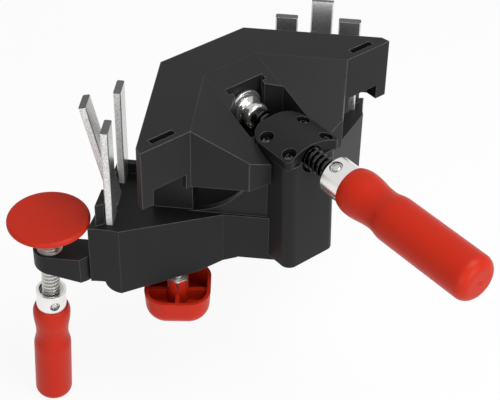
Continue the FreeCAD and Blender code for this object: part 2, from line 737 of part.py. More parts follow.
def post_cap():
    """Arched cap over the nut, with a recess for each of its four screws."""
    cap = new_body("post_cap")
    back, front = "-post_back", "-cap_front"
    bow = "(((cap_half - cap_front_round)^2 + cap_front_bow^2)/(2*cap_front_bow))"
    plan = [("cap_half", back + " - cap_back_round"), ("cap_half - cap_back_round", back, "cap_back_round"),
            ("cap_back_round - cap_half", back),
            ("-cap_half", back + " - cap_back_round", "cap_back_round"),
            ("-cap_half", front + " + cap_front_round"),
            ("cap_front_round - cap_half", front, "cap_front_round"),
            ("cap_half - cap_front_round", front, "-" + bow),
            ("cap_half", front + " + cap_front_round", "cap_front_round")]
    pad(cap, draw(new_sketch(cap, "cap_plan", shift="post_top"), plan), "cap_crown - post_top")
    rise = "(cap_crown - cap_side_top)"
    arch = "((cap_half^2 + %s^2)/(2*%s))" % (rise, rise)
    above = [("cap_half", "cap_crown + 2"), ("-cap_half", "cap_crown + 2"), ("-cap_half", "cap_side_top"),
             ("0", "cap_crown", "-" + arch), ("cap_half", "cap_side_top", "-" + arch)]
    sketch = new_sketch(cap, "cap_arch", "XZ_Plane", "post_back - 5")
    pocket(cap, draw(sketch, above), "cap_front - post_back + 10", up=True)
    seat = draw(new_sketch(cap, "nut_seat_above", "XZ_Plane", "nut_back - cap_gap"), nut_section("cap_gap"))
    pocket(cap, seat, "nut_front - nut_back + 2*cap_gap", up=True)
    run = draw_circle(new_sketch(cap, "screw_run_above", "XZ_Plane", "post_back - 10"),
                      "screw_radius + screw_clearance", y="screw_height")
    pocket(cap, run, "cap_front - post_back + 20", up=True)
    for x, y in cap_screw_places():
        recess = draw_circle(new_sketch(cap, "recess", shift="cap_screw_floor"), "cap_screw_recess", x, y)
        pocket(cap, recess, "10", up=True)
        hole = draw_circle(new_sketch(cap, "hole", shift="cap_screw_floor"), "cap_screw_shank + seat_gap", x, y)
        pocket(cap, hole, "10")
    return finish(cap)


def spindle_nut():
    """Nut of the main screw, trapped between post and cap."""
    nut = new_body("spindle_nut")
    section = draw(new_sketch(nut, "nut_outline", "XZ_Plane", "nut_back"), nut_section())
    pad(nut, section, "nut_front - nut_back")
    bore = draw_circle(new_sketch(nut, "nut_bore", "XZ_Plane", "nut_back"), "screw_radius + thread_gap",
                       y="screw_height")
    pocket(nut, bore, "nut_front - nut_back", up=True)
    return finish(nut)


def cap_screws():
    """Four screws of the cap: domed head on a plain shank."""
    names = ("left_back", "left_front", "right_back", "right_front")
    for name, (x, y) in zip(names, cap_screw_places()):
        screw = new_body("cap_screw_" + name)
        place(screw, x, y, "cap_screw_floor")
        profile = [("0", "-cap_screw_length"), ("cap_screw_shank", "-cap_screw_length"), ("cap_screw_shank", "0"),
                   ("cap_screw_head", "0"), ("cap_screw_head", "cap_screw_head_height/2"),
                   ("cap_screw_head/2", "cap_screw_head_height", "cap_screw_head*0.62"),
                   ("0", "cap_screw_head_height")]
        revolve(screw, draw(new_sketch(screw, "screw_profile", "XZ_Plane"), profile))
        finish(screw)


def fence_bars():
    """Two upright bars and one that leans outwards on each arm."""
    for side in (-1, 1):
        for which in ("near", "far"):
            bar = new_body("fence_bar_%s_%s" % (side_name(side), which))
            limits = sorted((across(side, "-bar_thick"), across(side, "0")), key=value)
            section = new_sketch(bar, "bar_section", shift="-bar_seat", turn=side_turn(side))
            middle = "bar_" + which
            draw_box(section, middle + " - bar_width/2", middle + " + bar_width/2", *limits)
            pad(bar, section, "bar_top + bar_seat")
            round_edges(bar, "Fillet", "bar_round", upright)
            finish(bar)
        lean_bar(side)


def lean_bar(side):
    """Bar of one arm that leans away from the jaw."""
    bar = new_body("lean_bar_" + side_name(side))
    angle = "lean_angle" if side < 0 else "-lean_angle"
    turn = side_turn(side)
    lean_axis = (-HALF, -HALF, 0) if side < 0 else (HALF, -HALF, 0)
    foot = "lean_foot*%s" % HALF_ROOT
    reach = "lean_place*%s" % HALF_ROOT
    if side < 0:
        place(bar, "%s - %s" % (foot, reach), "-%s - %s" % (foot, reach), "0", lean_axis, angle)
    else:
        place(bar, "%s - %s" % (reach, foot), "-%s - %s" % (foot, reach), "0", lean_axis, angle)
    limits = sorted((across(side, "-bar_thick"), across(side, "0")), key=value)
    section = new_sketch(bar, "bar_section", shift="-bar_seat/cos(lean_angle)", turn=turn)
    draw_box(section, "-bar_width/2", "bar_width/2", *limits)
    pad(bar, section, "(lean_top + bar_seat)/cos(lean_angle)")
    round_edges(bar, "Fillet", "bar_round", upright)
    return finish(bar)


def along_screw(label, turned=False):
    """Body of the main screw's group: its own Y runs along the screw from the jaw's nose."""
    body = new_body(label)
    place(body, y=NOSE, z="screw_height", axis=(0, 1, 0), turn="-pin_angle" if turned else "0")
    return body


def main_spindle():
    """Screw: a stub in the jaw's head slot, the threaded run, and a tang inside the handle."""
    spindle = along_screw("main_spindle", turned=True)
    thread_end = "-(ferrule_depth + ferrule_mouth)"
    profile = [("0", "-(head_depth + 1)"), ("0", "-(%s + tang_end)" % HANDLE_START),
               ("tang_radius", "-(%s + tang_end)" % HANDLE_START), ("tang_radius", thread_end),
               ("screw_radius", thread_end), ("screw_radius", "-thread_depth"),
               ("stub_radius", "-thread_depth"), ("stub_radius", "-(head_depth + 1)")]
    revolve(spindle, draw(new_sketch(spindle, "spindle_profile"), profile))
    hole = draw_circle(new_sketch(spindle, "pin_hole"), "pin_shank + seat_gap", y="-" + PIN_DEPTH)
    pocket(spindle, hole, "4*tang_radius", both=True)
    return finish(spindle)


def swivel_head():
    """Flanged head that turns in the jaw's slot, pressed on the screw's stub."""
    head = along_screw("swivel_head")
    flange_end = "-(head_depth + head_thick)"
    bore = "stub_radius + seat_gap"
    profile = [("0", "-head_depth"), ("0", "-(head_depth + 1 - seat_gap)"), (bore, "-(head_depth + 1 - seat_gap)"),
               (bore, "-neck_depth"), ("neck_end_radius", "-neck_depth"), ("neck_radius", flange_end),
               ("head_radius", flange_end), ("head_radius", "-head_depth")]
    revolve(head, draw(new_sketch(head, "head_profile"), profile))
    return finish(head)


def spindle_collar():
    """Collar behind the head, hollow on the side of the handle."""
    collar = along_screw("spindle_collar")
    back = "-(collar_depth + collar_thick)"
    bore, floor = "stub_radius + seat_gap", back + " + collar_cup_depth"
    profile = [(bore, "-collar_depth"), (bore, floor), ("collar_cup_radius", floor), ("collar_cup_radius", back),
               ("collar_radius - 0.8", back), ("collar_radius", back + " + 0.8"),
               ("collar_radius", "-collar_depth - 0.8"), ("collar_radius - 0.8", "-collar_depth")]
    revolve(collar, draw(new_sketch(collar, "collar_profile"), profile))
    return finish(collar)


def main_ferrule():
    """Ferrule with a hollow mouth round the thread, and seats for the cross pin."""
    ferrule = along_screw("main_ferrule", turned=True)
    tail, floor = "-(ferrule_depth + ferrule_length)", "-(ferrule_depth + ferrule_mouth)"
    bore = "tang_radius + seat_gap"
    profile = [("ferrule_radius", "-ferrule_depth"), ("ferrule_radius - ferrule_wall", "-ferrule_depth"),
               ("ferrule_radius - ferrule_wall", floor + " - seat_gap"), (bore, floor + " - seat_gap"),
               (bore, tail), ("ferrule_radius", tail)]
    revolve(ferrule, draw(new_sketch(ferrule, "ferrule_profile"), profile))
    pin_seats(ferrule, "pin", "-" + PIN_DEPTH, "ferrule_radius", "XY_Plane", "0")
    return finish(ferrule)


def pin_seats(ferrule, pin, height, radius, role, turn):
    """Through hole and two counterbores for a ferrule's rivet, along the sketches' normal."""
    hole = draw_circle(new_sketch(ferrule, "pin_hole", role, turn=turn), pin + "_shank + seat_gap", y=height)
    pocket(ferrule, hole, "4*" + radius, both=True)
    for sign, up in (("", True), ("-", False)):
        seat = new_sketch(ferrule, "pin_seat", role, "%s(%s - %s_seat)" % (sign, radius, pin), turn)
        pocket(ferrule, draw_circle(seat, pin + "_mouth", y=height), radius, up=up)


def pin_profile(pin, radius, height="0"):
    """Half section of a rivet whose domed ends lie just below its ferrule's surface."""
    shank, dome = pin + "_shank", pin + "_dome"
    tip = "(%s - %s_sink)" % (radius, pin)
    bend = "((%s^2 + %s^2)/(2*%s))" % (shank, dome, dome)
    return [("0", "-" + tip), (shank, "-(%s - %s)" % (tip, dome), bend), (shank, "%s - %s" % (tip, dome)),
            ("0", tip, bend)]


def ferrule_pin():
    """Rivet through ferrule and screw."""
    pin = new_body("ferrule_pin")
    place(pin, y="%s - %s" % (NOSE, PIN_DEPTH), z="screw_height", axis=(0, 1, 0), turn="-pin_angle")
    revolve(pin, draw(new_sketch(pin, "pin_section", "XZ_Plane"), pin_profile("pin", "ferrule_radius")))
    return finish(pin)


def grip(body, role, names, start, lip, bulge, waist, dimple):
    """Turned handle with a bulge, a waist and a long grip, bored for the ferrule and the tang."""
    ferrule, end = names["ferrule"], "(%s - %s)" % (start, names["length"])
    at = lambda distance: "(%s - (%s))" % (start, distance)
    bore, well = "(%s + seat_gap)" % ferrule, "(%s + seat_gap)" % names["tang"]
    well_end, bore_end = at(names["tang_end"]) + " - handle_play", names["ferrule_end"] + " - handle_play"
    first = (names["bulge"], at(bulge))
    lip_radius = "(%s + %s)" % (ferrule, lip)
    rise = "(%s - %s)" % (names["bulge"], lip_radius)
    shoulder = "-((%s^2 + (%s)^2)/(2*%s))" % (rise, bulge, rise)
    second, third = (names["waist"], at(waist)), (names["grip"], at(names["grip_start"]))
    flat = "(%s - %s)" % (names["grip"], names["round"])
    profile = [("0", well_end), (well, well_end), (well, bore_end), (bore, bore_end), (bore, start),
               (lip_radius, start), first + (shoulder,)]
    profile += swell(first, second) + swell(second, third)
    profile += [(names["grip"], "%s + %s" % (end, names["round"])), (flat, end, "-" + names["round"]),
                (dimple, end), ("0", "%s + %s/3" % (end, dimple))]
    revolve(body, draw(new_sketch(body, "grip_profile", role), profile))
    return finish(body)


def main_handle():
    """Handle of the main screw."""
    names = {"ferrule": "ferrule_radius", "ferrule_end": "-(ferrule_depth + ferrule_length)",
             "tang": "tang_radius", "tang_end": "tang_end", "length": "handle_length", "bulge": "bulge_radius",
             "waist": "waist_radius", "grip": "grip_radius", "grip_start": "grip_start", "round": "handle_round"}
    return grip(along_screw("main_handle"), "XY_Plane", names, "(-%s)" % HANDLE_START, "handle_lip",
                "bulge_place", "waist_place", "handle_dimple")


def at_bench(label):
    """Body of the bench clamp: its own Z is the small screw's leaning axis."""
    body = new_body(label)
    place(body, BENCH_X, BENCH_Y, BENCH_Z, (HALF, HALF, 0), "bench_lean")
    return body


def bench_nut():
    """Threaded bush in the plate."""
    nut = at_bench("table_nut")
    bore, low = "bench_screw_radius + thread_gap", "plate_nut_bottom"
    top = "plate_top + plate_nut_proud"
    profile = [(bore, low), ("bench_nut_radius", low), ("bench_nut_radius", top), (bore, top)]
    revolve(nut, draw(new_sketch(nut, "nut_profile", "XZ_Plane"), profile))
    return finish(nut)


def swivel_bush():
    """Ball on a stud that is pressed into the top of the small screw."""
    bush = at_bench("swivel_bush")
    neck = "ball_height - sqrt(ball_radius^2 - journal_radius^2)"
    profile = [("0", "stud_low"), ("journal_radius", "stud_low"), ("journal_radius", neck),
               ("0", "ball_height + ball_radius", "ball_radius")]
    revolve(bush, draw(new_sketch(bush, "ball_profile", "XZ_Plane"), profile))
    return finish(bush)


def pressure_disc():
    """Level disc with a rounded rim and a boss that snaps over the ball."""
    disc = new_body("pressure_disc")
    aside = "ball_height*" + LEAN_SIDEWAYS
    place(disc, "%s + %s" % (BENCH_X, aside), "%s - %s" % (BENCH_Y, aside),
          "%s + ball_height*cos(bench_lean) - ball_height" % BENCH_Z)
    socket = "(ball_radius + ball_gap)"
    mouth = "sqrt(%s^2 - (ball_height - disc_boss_bottom)^2)" % socket
    low = "(disc_top - disc_thick)"
    edge = "(disc_radius - disc_round)"
    profile = [("0", "disc_top"), ("0", "ball_height + " + socket), (mouth, "disc_boss_bottom", "-" + socket),
               ("disc_boss_radius", "disc_boss_bottom"), ("disc_boss_radius", low), (edge, low),
               ("disc_radius", low + " + disc_round", "disc_round"), ("disc_radius", "disc_top - disc_round"),
               (edge, "disc_top", "disc_round")]
    revolve(disc, draw(new_sketch(disc, "disc_profile", "XZ_Plane"), profile))
    return finish(disc)


def bench_spindle():
    """Small screw: bore for the ball's stud, threaded run, tang in the handle."""
    spindle = at_bench("table_spindle")
    thread_end = "bench_ferrule_top - bench_mouth"
    tang_low = BENCH_HANDLE + " - bench_tang_end"
    bore, floor = "journal_radius + seat_gap", "stud_low - seat_gap"
    profile = [("0", floor), ("0", tang_low), ("bench_tang_radius", tang_low),
               ("bench_tang_radius", thread_end), ("bench_screw_radius", thread_end),
               ("bench_screw_radius", "bench_thread_top"), (bore, "bench_thread_top"), (bore, floor)]
    revolve(spindle, draw(new_sketch(spindle, "spindle_profile", "XZ_Plane"), profile))
    hole = draw_circle(new_sketch(spindle, "pin_hole", "XZ_Plane", turn="bench_pin_angle"),
                       "bench_pin_shank + seat_gap", y=BENCH_PIN)
    pocket(spindle, hole, "4*bench_tang_radius", both=True)
    return finish(spindle)


def bench_ferrule():
    """Ferrule of the small screw."""
    ferrule = at_bench("table_ferrule")
    radius, inner = "bench_ferrule_radius", "bench_ferrule_radius - bench_ferrule_wall"
    tail = "bench_ferrule_top - bench_ferrule_length"
    floor, bore = "bench_ferrule_top - bench_mouth - seat_gap", "bench_tang_radius + seat_gap"
    profile = [(radius, "bench_ferrule_top"), (inner, "bench_ferrule_top"), (inner, floor), (bore, floor),
               (bore, tail), (radius, tail)]
    revolve(ferrule, draw(new_sketch(ferrule, "ferrule_profile", "XZ_Plane"), profile))
    pin_seats(ferrule, "bench_pin", BENCH_PIN, radius, "XZ_Plane", "bench_pin_angle")
    return finish(ferrule)


def bench_pin():
    """Rivet through the small ferrule and screw."""
    pin = at_bench("table_pin")
    section = new_sketch(pin, "pin_section", shift=BENCH_PIN, turn="bench_pin_angle")
    revolve(pin, draw(section, pin_profile("bench_pin", "bench_ferrule_radius")))
    return finish(pin)


def bench_handle():
    """Handle of the bench clamp."""
    names = {"ferrule": "bench_ferrule_radius", "ferrule_end": "(bench_ferrule_top - bench_ferrule_length)",
             "tang": "bench_tang_radius", "tang_end": "bench_tang_end", "length": "bench_handle_length",
             "bulge": "bench_bulge_radius", "waist": "bench_waist_radius", "grip": "bench_grip_radius",
             "grip_start": "bench_grip_start", "round": "bench_handle_round"}
    return grip(at_bench("table_handle"), "XZ_Plane", names, BENCH_HANDLE, "bench_handle_lip",
                "bench_bulge_place", "bench_waist_place", "bench_handle_dimple")


def at_knob(label):
    """Body on the axis of the left arm's bolt, turned like the knob."""
    body = new_body(label + "_left")
    place(body, "-knob_x", "-knob_y", turn="knob_turn")
    return body


def rounded_square(half, corner):
    """Outline of a square with round corners."""
    flat = "(%s - (%s))" % (half, corner)
    return [(half, "-" + flat), (half, flat), (flat, half, corner), ("-" + flat, half),
            ("-(%s)" % half, flat, corner), ("-(%s)" % half, "-" + flat),
            ("-" + flat, "-(%s)" % half, corner), (flat, "-(%s)" % half), (half, "-" + flat, corner)][1:]


def clamp_knob():
    """Cup-shaped knob with a round bottom edge, a hub and four ribs."""
    knob = at_knob("clamp_knob")
    sketch = draw(new_sketch(knob, "knob_plan", shift="knob_rim"), rounded_square("knob_half", "knob_corner"))
    bind(pad(knob, sketch, "knob_height", down=True), "TaperAngle", "-knob_draft")
    bottom = value("knob_rim - knob_height")
    round_edges(knob, "Fillet", "knob_round", lambda edge: abs(edge.CenterOfMass.z - bottom) < 0.01)
    inner = new_sketch(knob, "knob_hollow", shift="knob_rim")
    draw(inner, rounded_square("(knob_half - knob_wall)", "(knob_corner - knob_wall)"))
    bind(pocket(knob, inner, "knob_height - knob_floor"), "TaperAngle", "-knob_draft")
    floor = "(knob_rim - knob_height + knob_floor - knob_join)"
    hub = draw_circle(new_sketch(knob, "knob_hub", shift=floor), "knob_hub_radius")
    pad(knob, hub, "knob_hub_top - " + floor)
    reach = "(knob_half - knob_wall/2 - knob_height*tan(knob_draft))"
    for name, limits in (("x", ("-" + reach, reach, "-knob_rib/2", "knob_rib/2")),
                         ("y", ("-knob_rib/2", "knob_rib/2", "-" + reach, reach))):
        rib = draw_box(new_sketch(knob, "knob_rib_" + name, shift=floor), *limits)
        pad(knob, rib, "knob_rim - knob_rib_drop - " + floor)
    bore = draw_circle(new_sketch(knob, "knob_bore", shift="knob_hub_top"), "knob_bolt_radius + seat_gap")
    pocket(knob, bore, "knob_hub_top - %s + seat_gap" % BOLT_LOW)
    seat = new_sketch(knob, "nut_seat", shift="knob_hub_top")
    draw(seat, hexagon("knob_nut_flats + 2*seat_gap"))
    pocket(knob, seat, "knob_nut_height + seat_gap")
    return finish(knob)


def hexagon(flats):
    """Outline of a hexagon across given flats."""
    corner, half = "(%s)/sqrt(3)" % flats, "(%s)/2" % flats
    return [(corner, "0"), (corner + "/2", half), ("-" + corner + "/2", half), ("-" + corner, "0"),
            ("-" + corner + "/2", "-" + half), (corner + "/2", "-" + half)]


def knob_fittings():
    """Bolt, nut, washer and threaded bush of the knob."""
    bolt = at_knob("knob_bolt")
    sketch = draw_circle(new_sketch(bolt, "bolt_section", shift=BOLT_LOW), "knob_bolt_radius")
    pad(bolt, sketch, "knob_bolt_top - " + BOLT_LOW)
    finish(bolt)
    nut = at_knob("knob_nut")
    sketch = new_sketch(nut, "nut_section", shift="knob_hub_top - knob_nut_height")
    pad(nut, draw(sketch, hexagon("knob_nut_flats")), "knob_nut_height")
    bore = draw_circle(new_sketch(nut, "nut_bore", shift="knob_hub_top"), "knob_bolt_radius + seat_gap")
    pocket(nut, bore, "2*knob_nut_height")
    finish(nut)
    for label, low, high, radius, gap in (
            ("knob_washer", "knob_hub_top", "knob_hub_top + knob_washer_thick", "knob_washer_radius",
             "washer_play"),
            ("knob_bush", "bush_bottom", "bush_top", "bush_radius", "thread_gap")):
        ring = at_knob(label)
        bore = "knob_bolt_radius + " + gap
        profile = [(bore, low), (radius, low), (radius, high), (bore, high)]
        revolve(ring, draw(new_sketch(ring, "ring_profile", "XZ_Plane"), profile))
        finish(ring)


def check_and_write():
    """Stop on a failed object or a bad solid, then write one file for each node."""
    doc.recompute()
    failed = [thing.Name for thing in doc.Objects if {"Invalid", "Error"} & set(thing.State)]
    if failed:
        raise RuntimeError("failed: " + ", ".join(failed))
    for name, thing in nodes.items():
        if thing.Shape.isNull() or not thing.Shape.isValid() or not thing.Shape.Solids:
            raise RuntimeError("no valid solid: " + name)
    os.makedirs("parts", exist_ok=True)
    for name, thing in nodes.items():
        thing.Shape.exportStep("parts/%s.step" % name)
        print(name, len(thing.Shape.Solids), round(thing.Shape.Volume, 1))


def build():
    """Whole clamp, one function for each piece or group of like pieces."""
    fill_sheet()
    base_frame()
    post_cap()
    spindle_nut()
    cap_screws()
    fence_bars()
    clamp_jaw()
    for make in (main_spindle, swivel_head, spindle_collar, main_ferrule, ferrule_pin, main_handle):
        make()
    for make in (bench_nut, swivel_bush, pressure_disc, bench_spindle, bench_ferrule, bench_pin, bench_handle):
        make()
    clamp_knob()
    knob_fittings()
    check_and_write()


build()
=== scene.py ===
import json
import math
import bpy
from bpy.props import FloatProperty, FloatVectorProperty, IntProperty, PointerProperty
from mathutils import Matrix, Vector

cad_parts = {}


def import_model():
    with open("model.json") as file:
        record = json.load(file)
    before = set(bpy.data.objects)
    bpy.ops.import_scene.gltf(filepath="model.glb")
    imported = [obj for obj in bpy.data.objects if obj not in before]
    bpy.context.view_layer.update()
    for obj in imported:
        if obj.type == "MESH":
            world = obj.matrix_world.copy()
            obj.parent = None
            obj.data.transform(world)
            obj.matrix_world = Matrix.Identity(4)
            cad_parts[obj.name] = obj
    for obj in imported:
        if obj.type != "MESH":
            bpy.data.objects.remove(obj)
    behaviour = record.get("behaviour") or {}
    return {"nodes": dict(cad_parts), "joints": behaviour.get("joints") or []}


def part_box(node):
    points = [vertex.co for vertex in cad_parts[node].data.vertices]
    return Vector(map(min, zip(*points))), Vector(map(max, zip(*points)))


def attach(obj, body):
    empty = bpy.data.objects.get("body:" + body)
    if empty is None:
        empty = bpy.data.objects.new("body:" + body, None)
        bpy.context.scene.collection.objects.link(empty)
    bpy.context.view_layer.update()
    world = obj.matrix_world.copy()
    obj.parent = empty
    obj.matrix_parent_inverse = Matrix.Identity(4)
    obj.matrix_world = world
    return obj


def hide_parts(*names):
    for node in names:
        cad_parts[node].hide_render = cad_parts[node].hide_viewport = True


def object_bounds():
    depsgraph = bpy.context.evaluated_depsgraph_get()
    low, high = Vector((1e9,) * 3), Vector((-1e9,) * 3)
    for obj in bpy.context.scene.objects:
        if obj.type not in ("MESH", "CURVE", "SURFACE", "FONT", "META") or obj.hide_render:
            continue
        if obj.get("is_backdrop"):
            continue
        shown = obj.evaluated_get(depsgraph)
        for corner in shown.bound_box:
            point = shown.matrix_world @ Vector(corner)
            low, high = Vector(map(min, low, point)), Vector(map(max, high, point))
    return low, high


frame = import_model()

bl_info = {
    "name": "Corner clamp",
    "version": (1, 0, 0),
    "blender": (4, 5, 0),
    "location": "3D View > Sidebar > Clamp",
    "description": "Threads, screws, finishes and studio of a corner clamp",
    "category": "Object",
}

NODES = frame["nodes"]
MM = 0.001
ALONG_Y = Matrix.Rotation(math.radians(-90), 4, "X")

# Modelling: distance below which vertices merge, reach of a cutter past its piece, and the sharpest bend
# that is still shaded smooth.
WELD = 0.002 * MM
OVERRUN = 1 * MM
SMOOTH_BELOW = math.radians(35)

# Swivel head, in millimetres: insets from the ring's radius or flares from the neck's, with their depths
# behind the ring's front.
RING_SECTION = ((2.2, 0.0), (0.2, 0.2), (0.0, 0.6), (0.1, 1.2), (0.9, 1.7))
NECK_SECTION = ((1.0, 2.3), (0.2, 3.0), (0.0, 3.8))

# Turns of the cap screws' recesses in degrees, in the order of the nodes' names.
RECESS_TURNS = (25, 70, -12, 48)

# Bend of the rounded normal at which an edge counts fully in the edge mask, whose colour change is a painted
# highlight.
EDGE_BEND = 0.12

# Metals: shares of their colour where they are dulled or polished, and the palest that they get. The
# polished share is a painted highlight on metal edges, and also the paler grain of the bars' narrow faces.
DULLED = 0.72
POLISH_AND_HIGHLIGHT = 1.25
PALEST = 0.95

# Marks around a cross pin, as (place, strength) on ramps over the distance from its axis: a raised ridge,
# and grooves darkened as painted shade. The pin's own radius lies at PIN_EDGE.
PIN_EDGE = 0.4
RIDGE_STOPS = ((0.0, 0.0), (0.44, 0.0), (0.50, 1.0), (0.58, 1.0), (0.66, 0.0))
GROOVE_SHADE_STOPS = ((0.37, 0.0), (0.40, 1.0), (0.44, 0.0), (0.59, 0.0), (0.64, 1.0), (0.70, 0.0))
PAINTED_GROOVE_SHADE = (0.03, 0.03, 0.03)
RIDGE_HEIGHT = 0.6 * MM

# Lamps: name, place from the clamp's middle in metres, width in metres and power in watts.
LAMPS = (("overhead", (0.2, -0.42, 1.2), 0.8, 12),
         ("front_left", (-1.3, -0.9, 0.4), 0.9, 7),
         ("front", (0.1, -1.5, 0.4), 0.9, 10))


def centre_of(node):
    """Middle of a CAD node's box."""
    low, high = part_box(node)
    return (low + high) / 2


def length_prop(name, description, default):
    """Length in metres for the panel."""
    return FloatProperty(name=name, description=description, default=default, unit="LENGTH", precision=5)


def angle_prop(name, description, default):
    """Angle for the panel, whose default is given in radians."""
    return FloatProperty(name=name, description=description, default=default, subtype="ANGLE")


def share_prop(name, description, default):
    """Share from nothing to all, for the panel."""
    return FloatProperty(name=name, description=description, default=default, min=0.0, max=1.0,
                         subtype="FACTOR")


def colour_prop(name, description, default):
    """Colour in linear light for the panel."""
    return FloatVectorProperty(name=name, description=description, default=default, subtype="COLOR",
                               size=3, min=0.0, max=1.0)


class ThreadSizes(bpy.types.PropertyGroup):
    """Threads of the three kinds of screw."""
    main_lead: length_prop("Main lead", "Advance of the main screw for one turn", 4 * MM)
    main_depth: length_prop("Main depth", "Depth of the main screw's thread", 2.2 * MM)
    bench_lead: length_prop("Bench lead", "Advance of the bench clamp's screw for one turn", 3 * MM)
    bench_depth: length_prop("Bench depth", "Depth of the bench clamp's thread", 1.7 * MM)
    bolt_lead: length_prop("Bolt lead", "Advance of the knob's bolt for one turn", 1.25 * MM)
    bolt_depth: length_prop("Bolt depth", "Depth of the knob bolt's thread", 0.7 * MM)


class MainScrewSizes(bpy.types.PropertyGroup):
    """Plain ends of the main screw."""
    overlap: length_prop("Overlap", "Start of the thread in the ferrule, and its gap to the collar", 3 * MM)
    tail_radius: length_prop("Tail radius", "Radius of the end inside the handle", 5.5 * MM)
    stub_radius: length_prop("Stub radius", "Radius of the end inside the collar", 4.5 * MM)
    shoulder: length_prop("Shoulder", "Length of the cone between thread and stub", 0.6 * MM)


class BenchScrewSizes(bpy.types.PropertyGroup):
    """Screw of the bench clamp: heights are measured up its own leaning axis from its hinge."""
    radius: length_prop("Radius", "Outside radius of the thread", 6 * MM)
    top: length_prop("Top", "Upper end of the thread", 19.6 * MM)
    floor: length_prop("Floor", "Lower end of the thread, in the ferrule's mouth", -35.35 * MM)
    tail_radius: length_prop("Tail radius", "Radius of the end inside the handle", 4.8 * MM)
    tail_end: length_prop("Tail end", "Lowest point, inside the handle", -87.75 * MM)
    bore_radius: length_prop("Bore radius", "Radius of the bore for the ball's stud", 3.2 * MM)
    bore_floor: length_prop("Bore floor", "Floor of the bore for the ball's stud", 11.55 * MM)


class SwivelSizes(bpy.types.PropertyGroup):
    """Swivel head of the main screw, and the collar behind it with its toothed lock ring."""
    flange_radius: length_prop("Flange radius", "Radius of the flange in the jaw's slot", 12.6 * MM)
    flange_thick: length_prop("Flange thickness", "Thickness of the flange", 2.4 * MM)
    flange_front: length_prop("Flange front", "Bevel of the flange's front edge", 0.6 * MM)
    flange_back: length_prop("Flange back", "Bevel of the flange's back edge", 0.4 * MM)
    groove: length_prop("Groove", "Gap between the flange and the second ring", 1.2 * MM)
    groove_depth: length_prop("Groove depth", "Depth of the groove below the second ring", 2.0 * MM)
    groove_slope: length_prop("Groove slope", "Length of the flange's slope into the groove", 0.3 * MM)
    ring_radius: length_prop("Ring radius", "Radius of the second ring", 10 * MM)
    neck_radius: length_prop("Neck radius", "Radius of the neck behind the rings", 6.6 * MM)
    neck_taper: length_prop("Neck taper", "Loss of the neck's radius at the collar", 0.9 * MM)
    head_length: length_prop("Head length", "Length from the flange's face to the collar", 10.4 * MM)
    collar_radius: length_prop("Collar radius", "Outside radius of the collar", 8.8 * MM)
    collar_edge: length_prop("Collar edge", "Bevel of the collar's edge at the neck", 0.6 * MM)
    bead: length_prop("Bead", "Rounding of the collar's open end", 1.9 * MM)
    hollow_radius: length_prop("Hollow radius", "Radius of the collar's hollow", 6.2 * MM)
    hollow_depth: length_prop("Hollow depth", "Depth of the collar's hollow", 2.2 * MM)
    hollow_edge: length_prop("Hollow edge", "Bevel of the hollow's mouth", 0.5 * MM)
    bore_radius: length_prop("Bore radius", "Radius of the collar's bore around the screw's end", 4.6 * MM)
    lock_teeth: IntProperty(name="Lock teeth", description="Number of teeth of the lock ring", default=9)
    lock_thick: length_prop("Lock thickness", "Thickness of the lock ring", 0.5 * MM)
    lock_gap: length_prop("Lock gap", "Gap around the lock ring, inside and outside", 0.05 * MM)
    lock_place: share_prop("Lock place", "Place of the lock ring in the hollow's depth", 0.6)
    lock_root: share_prop("Lock root", "Share of the lock ring's width that has no teeth", 0.35)


class CapScrewSizes(bpy.types.PropertyGroup):
    """Pan-head screws of the cap."""
    head_height: length_prop("Head height", "Height of the head", 2.8 * MM)
    head_edge: length_prop("Head edge", "Drop from the dome's rim to the head's side", 0.2 * MM)
    dome_rise: share_prop("Dome rise", "Height of the dome as a share of the head's radius", 0.42)
    dome_angle: angle_prop("Dome angle", "Reach of the dome's arc from the screw's axis", 1.35)
    shank_radius: length_prop("Shank radius", "Radius of the shank", 2.2 * MM)
    slot_width: length_prop("Slot width", "Width of each arm of the cross recess", 1.1 * MM)
    slot_length: length_prop("Slot length", "Length of each arm of the cross recess", 4.6 * MM)
    slot_depth: length_prop("Slot depth", "Depth of the cross recess", 1.6 * MM)


class FinishColours(bpy.types.PropertyGroup):
    """Base colours of the finishes."""
    black: colour_prop("Black plastic", "Moulded body of the clamp", (0.0115, 0.0115, 0.0116))
    red: colour_prop("Red plastic", "Handles, disc and knob", (0.455, 0.0195, 0.0056))
    # The paler red for the edges is a painted highlight.
    edge_highlight_red: colour_prop("Red edges", "Paler tone of the red parts' edges", (0.52, 0.045, 0.022))
    zinc: colour_prop("Zinc", "Plated small steel parts", (0.68, 0.67, 0.65))
    bright: colour_prop("Bright steel", "Turned and nickel-plated parts", (0.88, 0.87, 0.85))
    screw: colour_prop("Dark screw", "Oiled main screw", (0.055, 0.054, 0.053))
    galvanised: colour_prop("Galvanised steel", "Flat bars", (0.76, 0.76, 0.75))
    sawn: colour_prop("Sawn end", "Bare ends of the flat bars", (0.10, 0.10, 0.10))


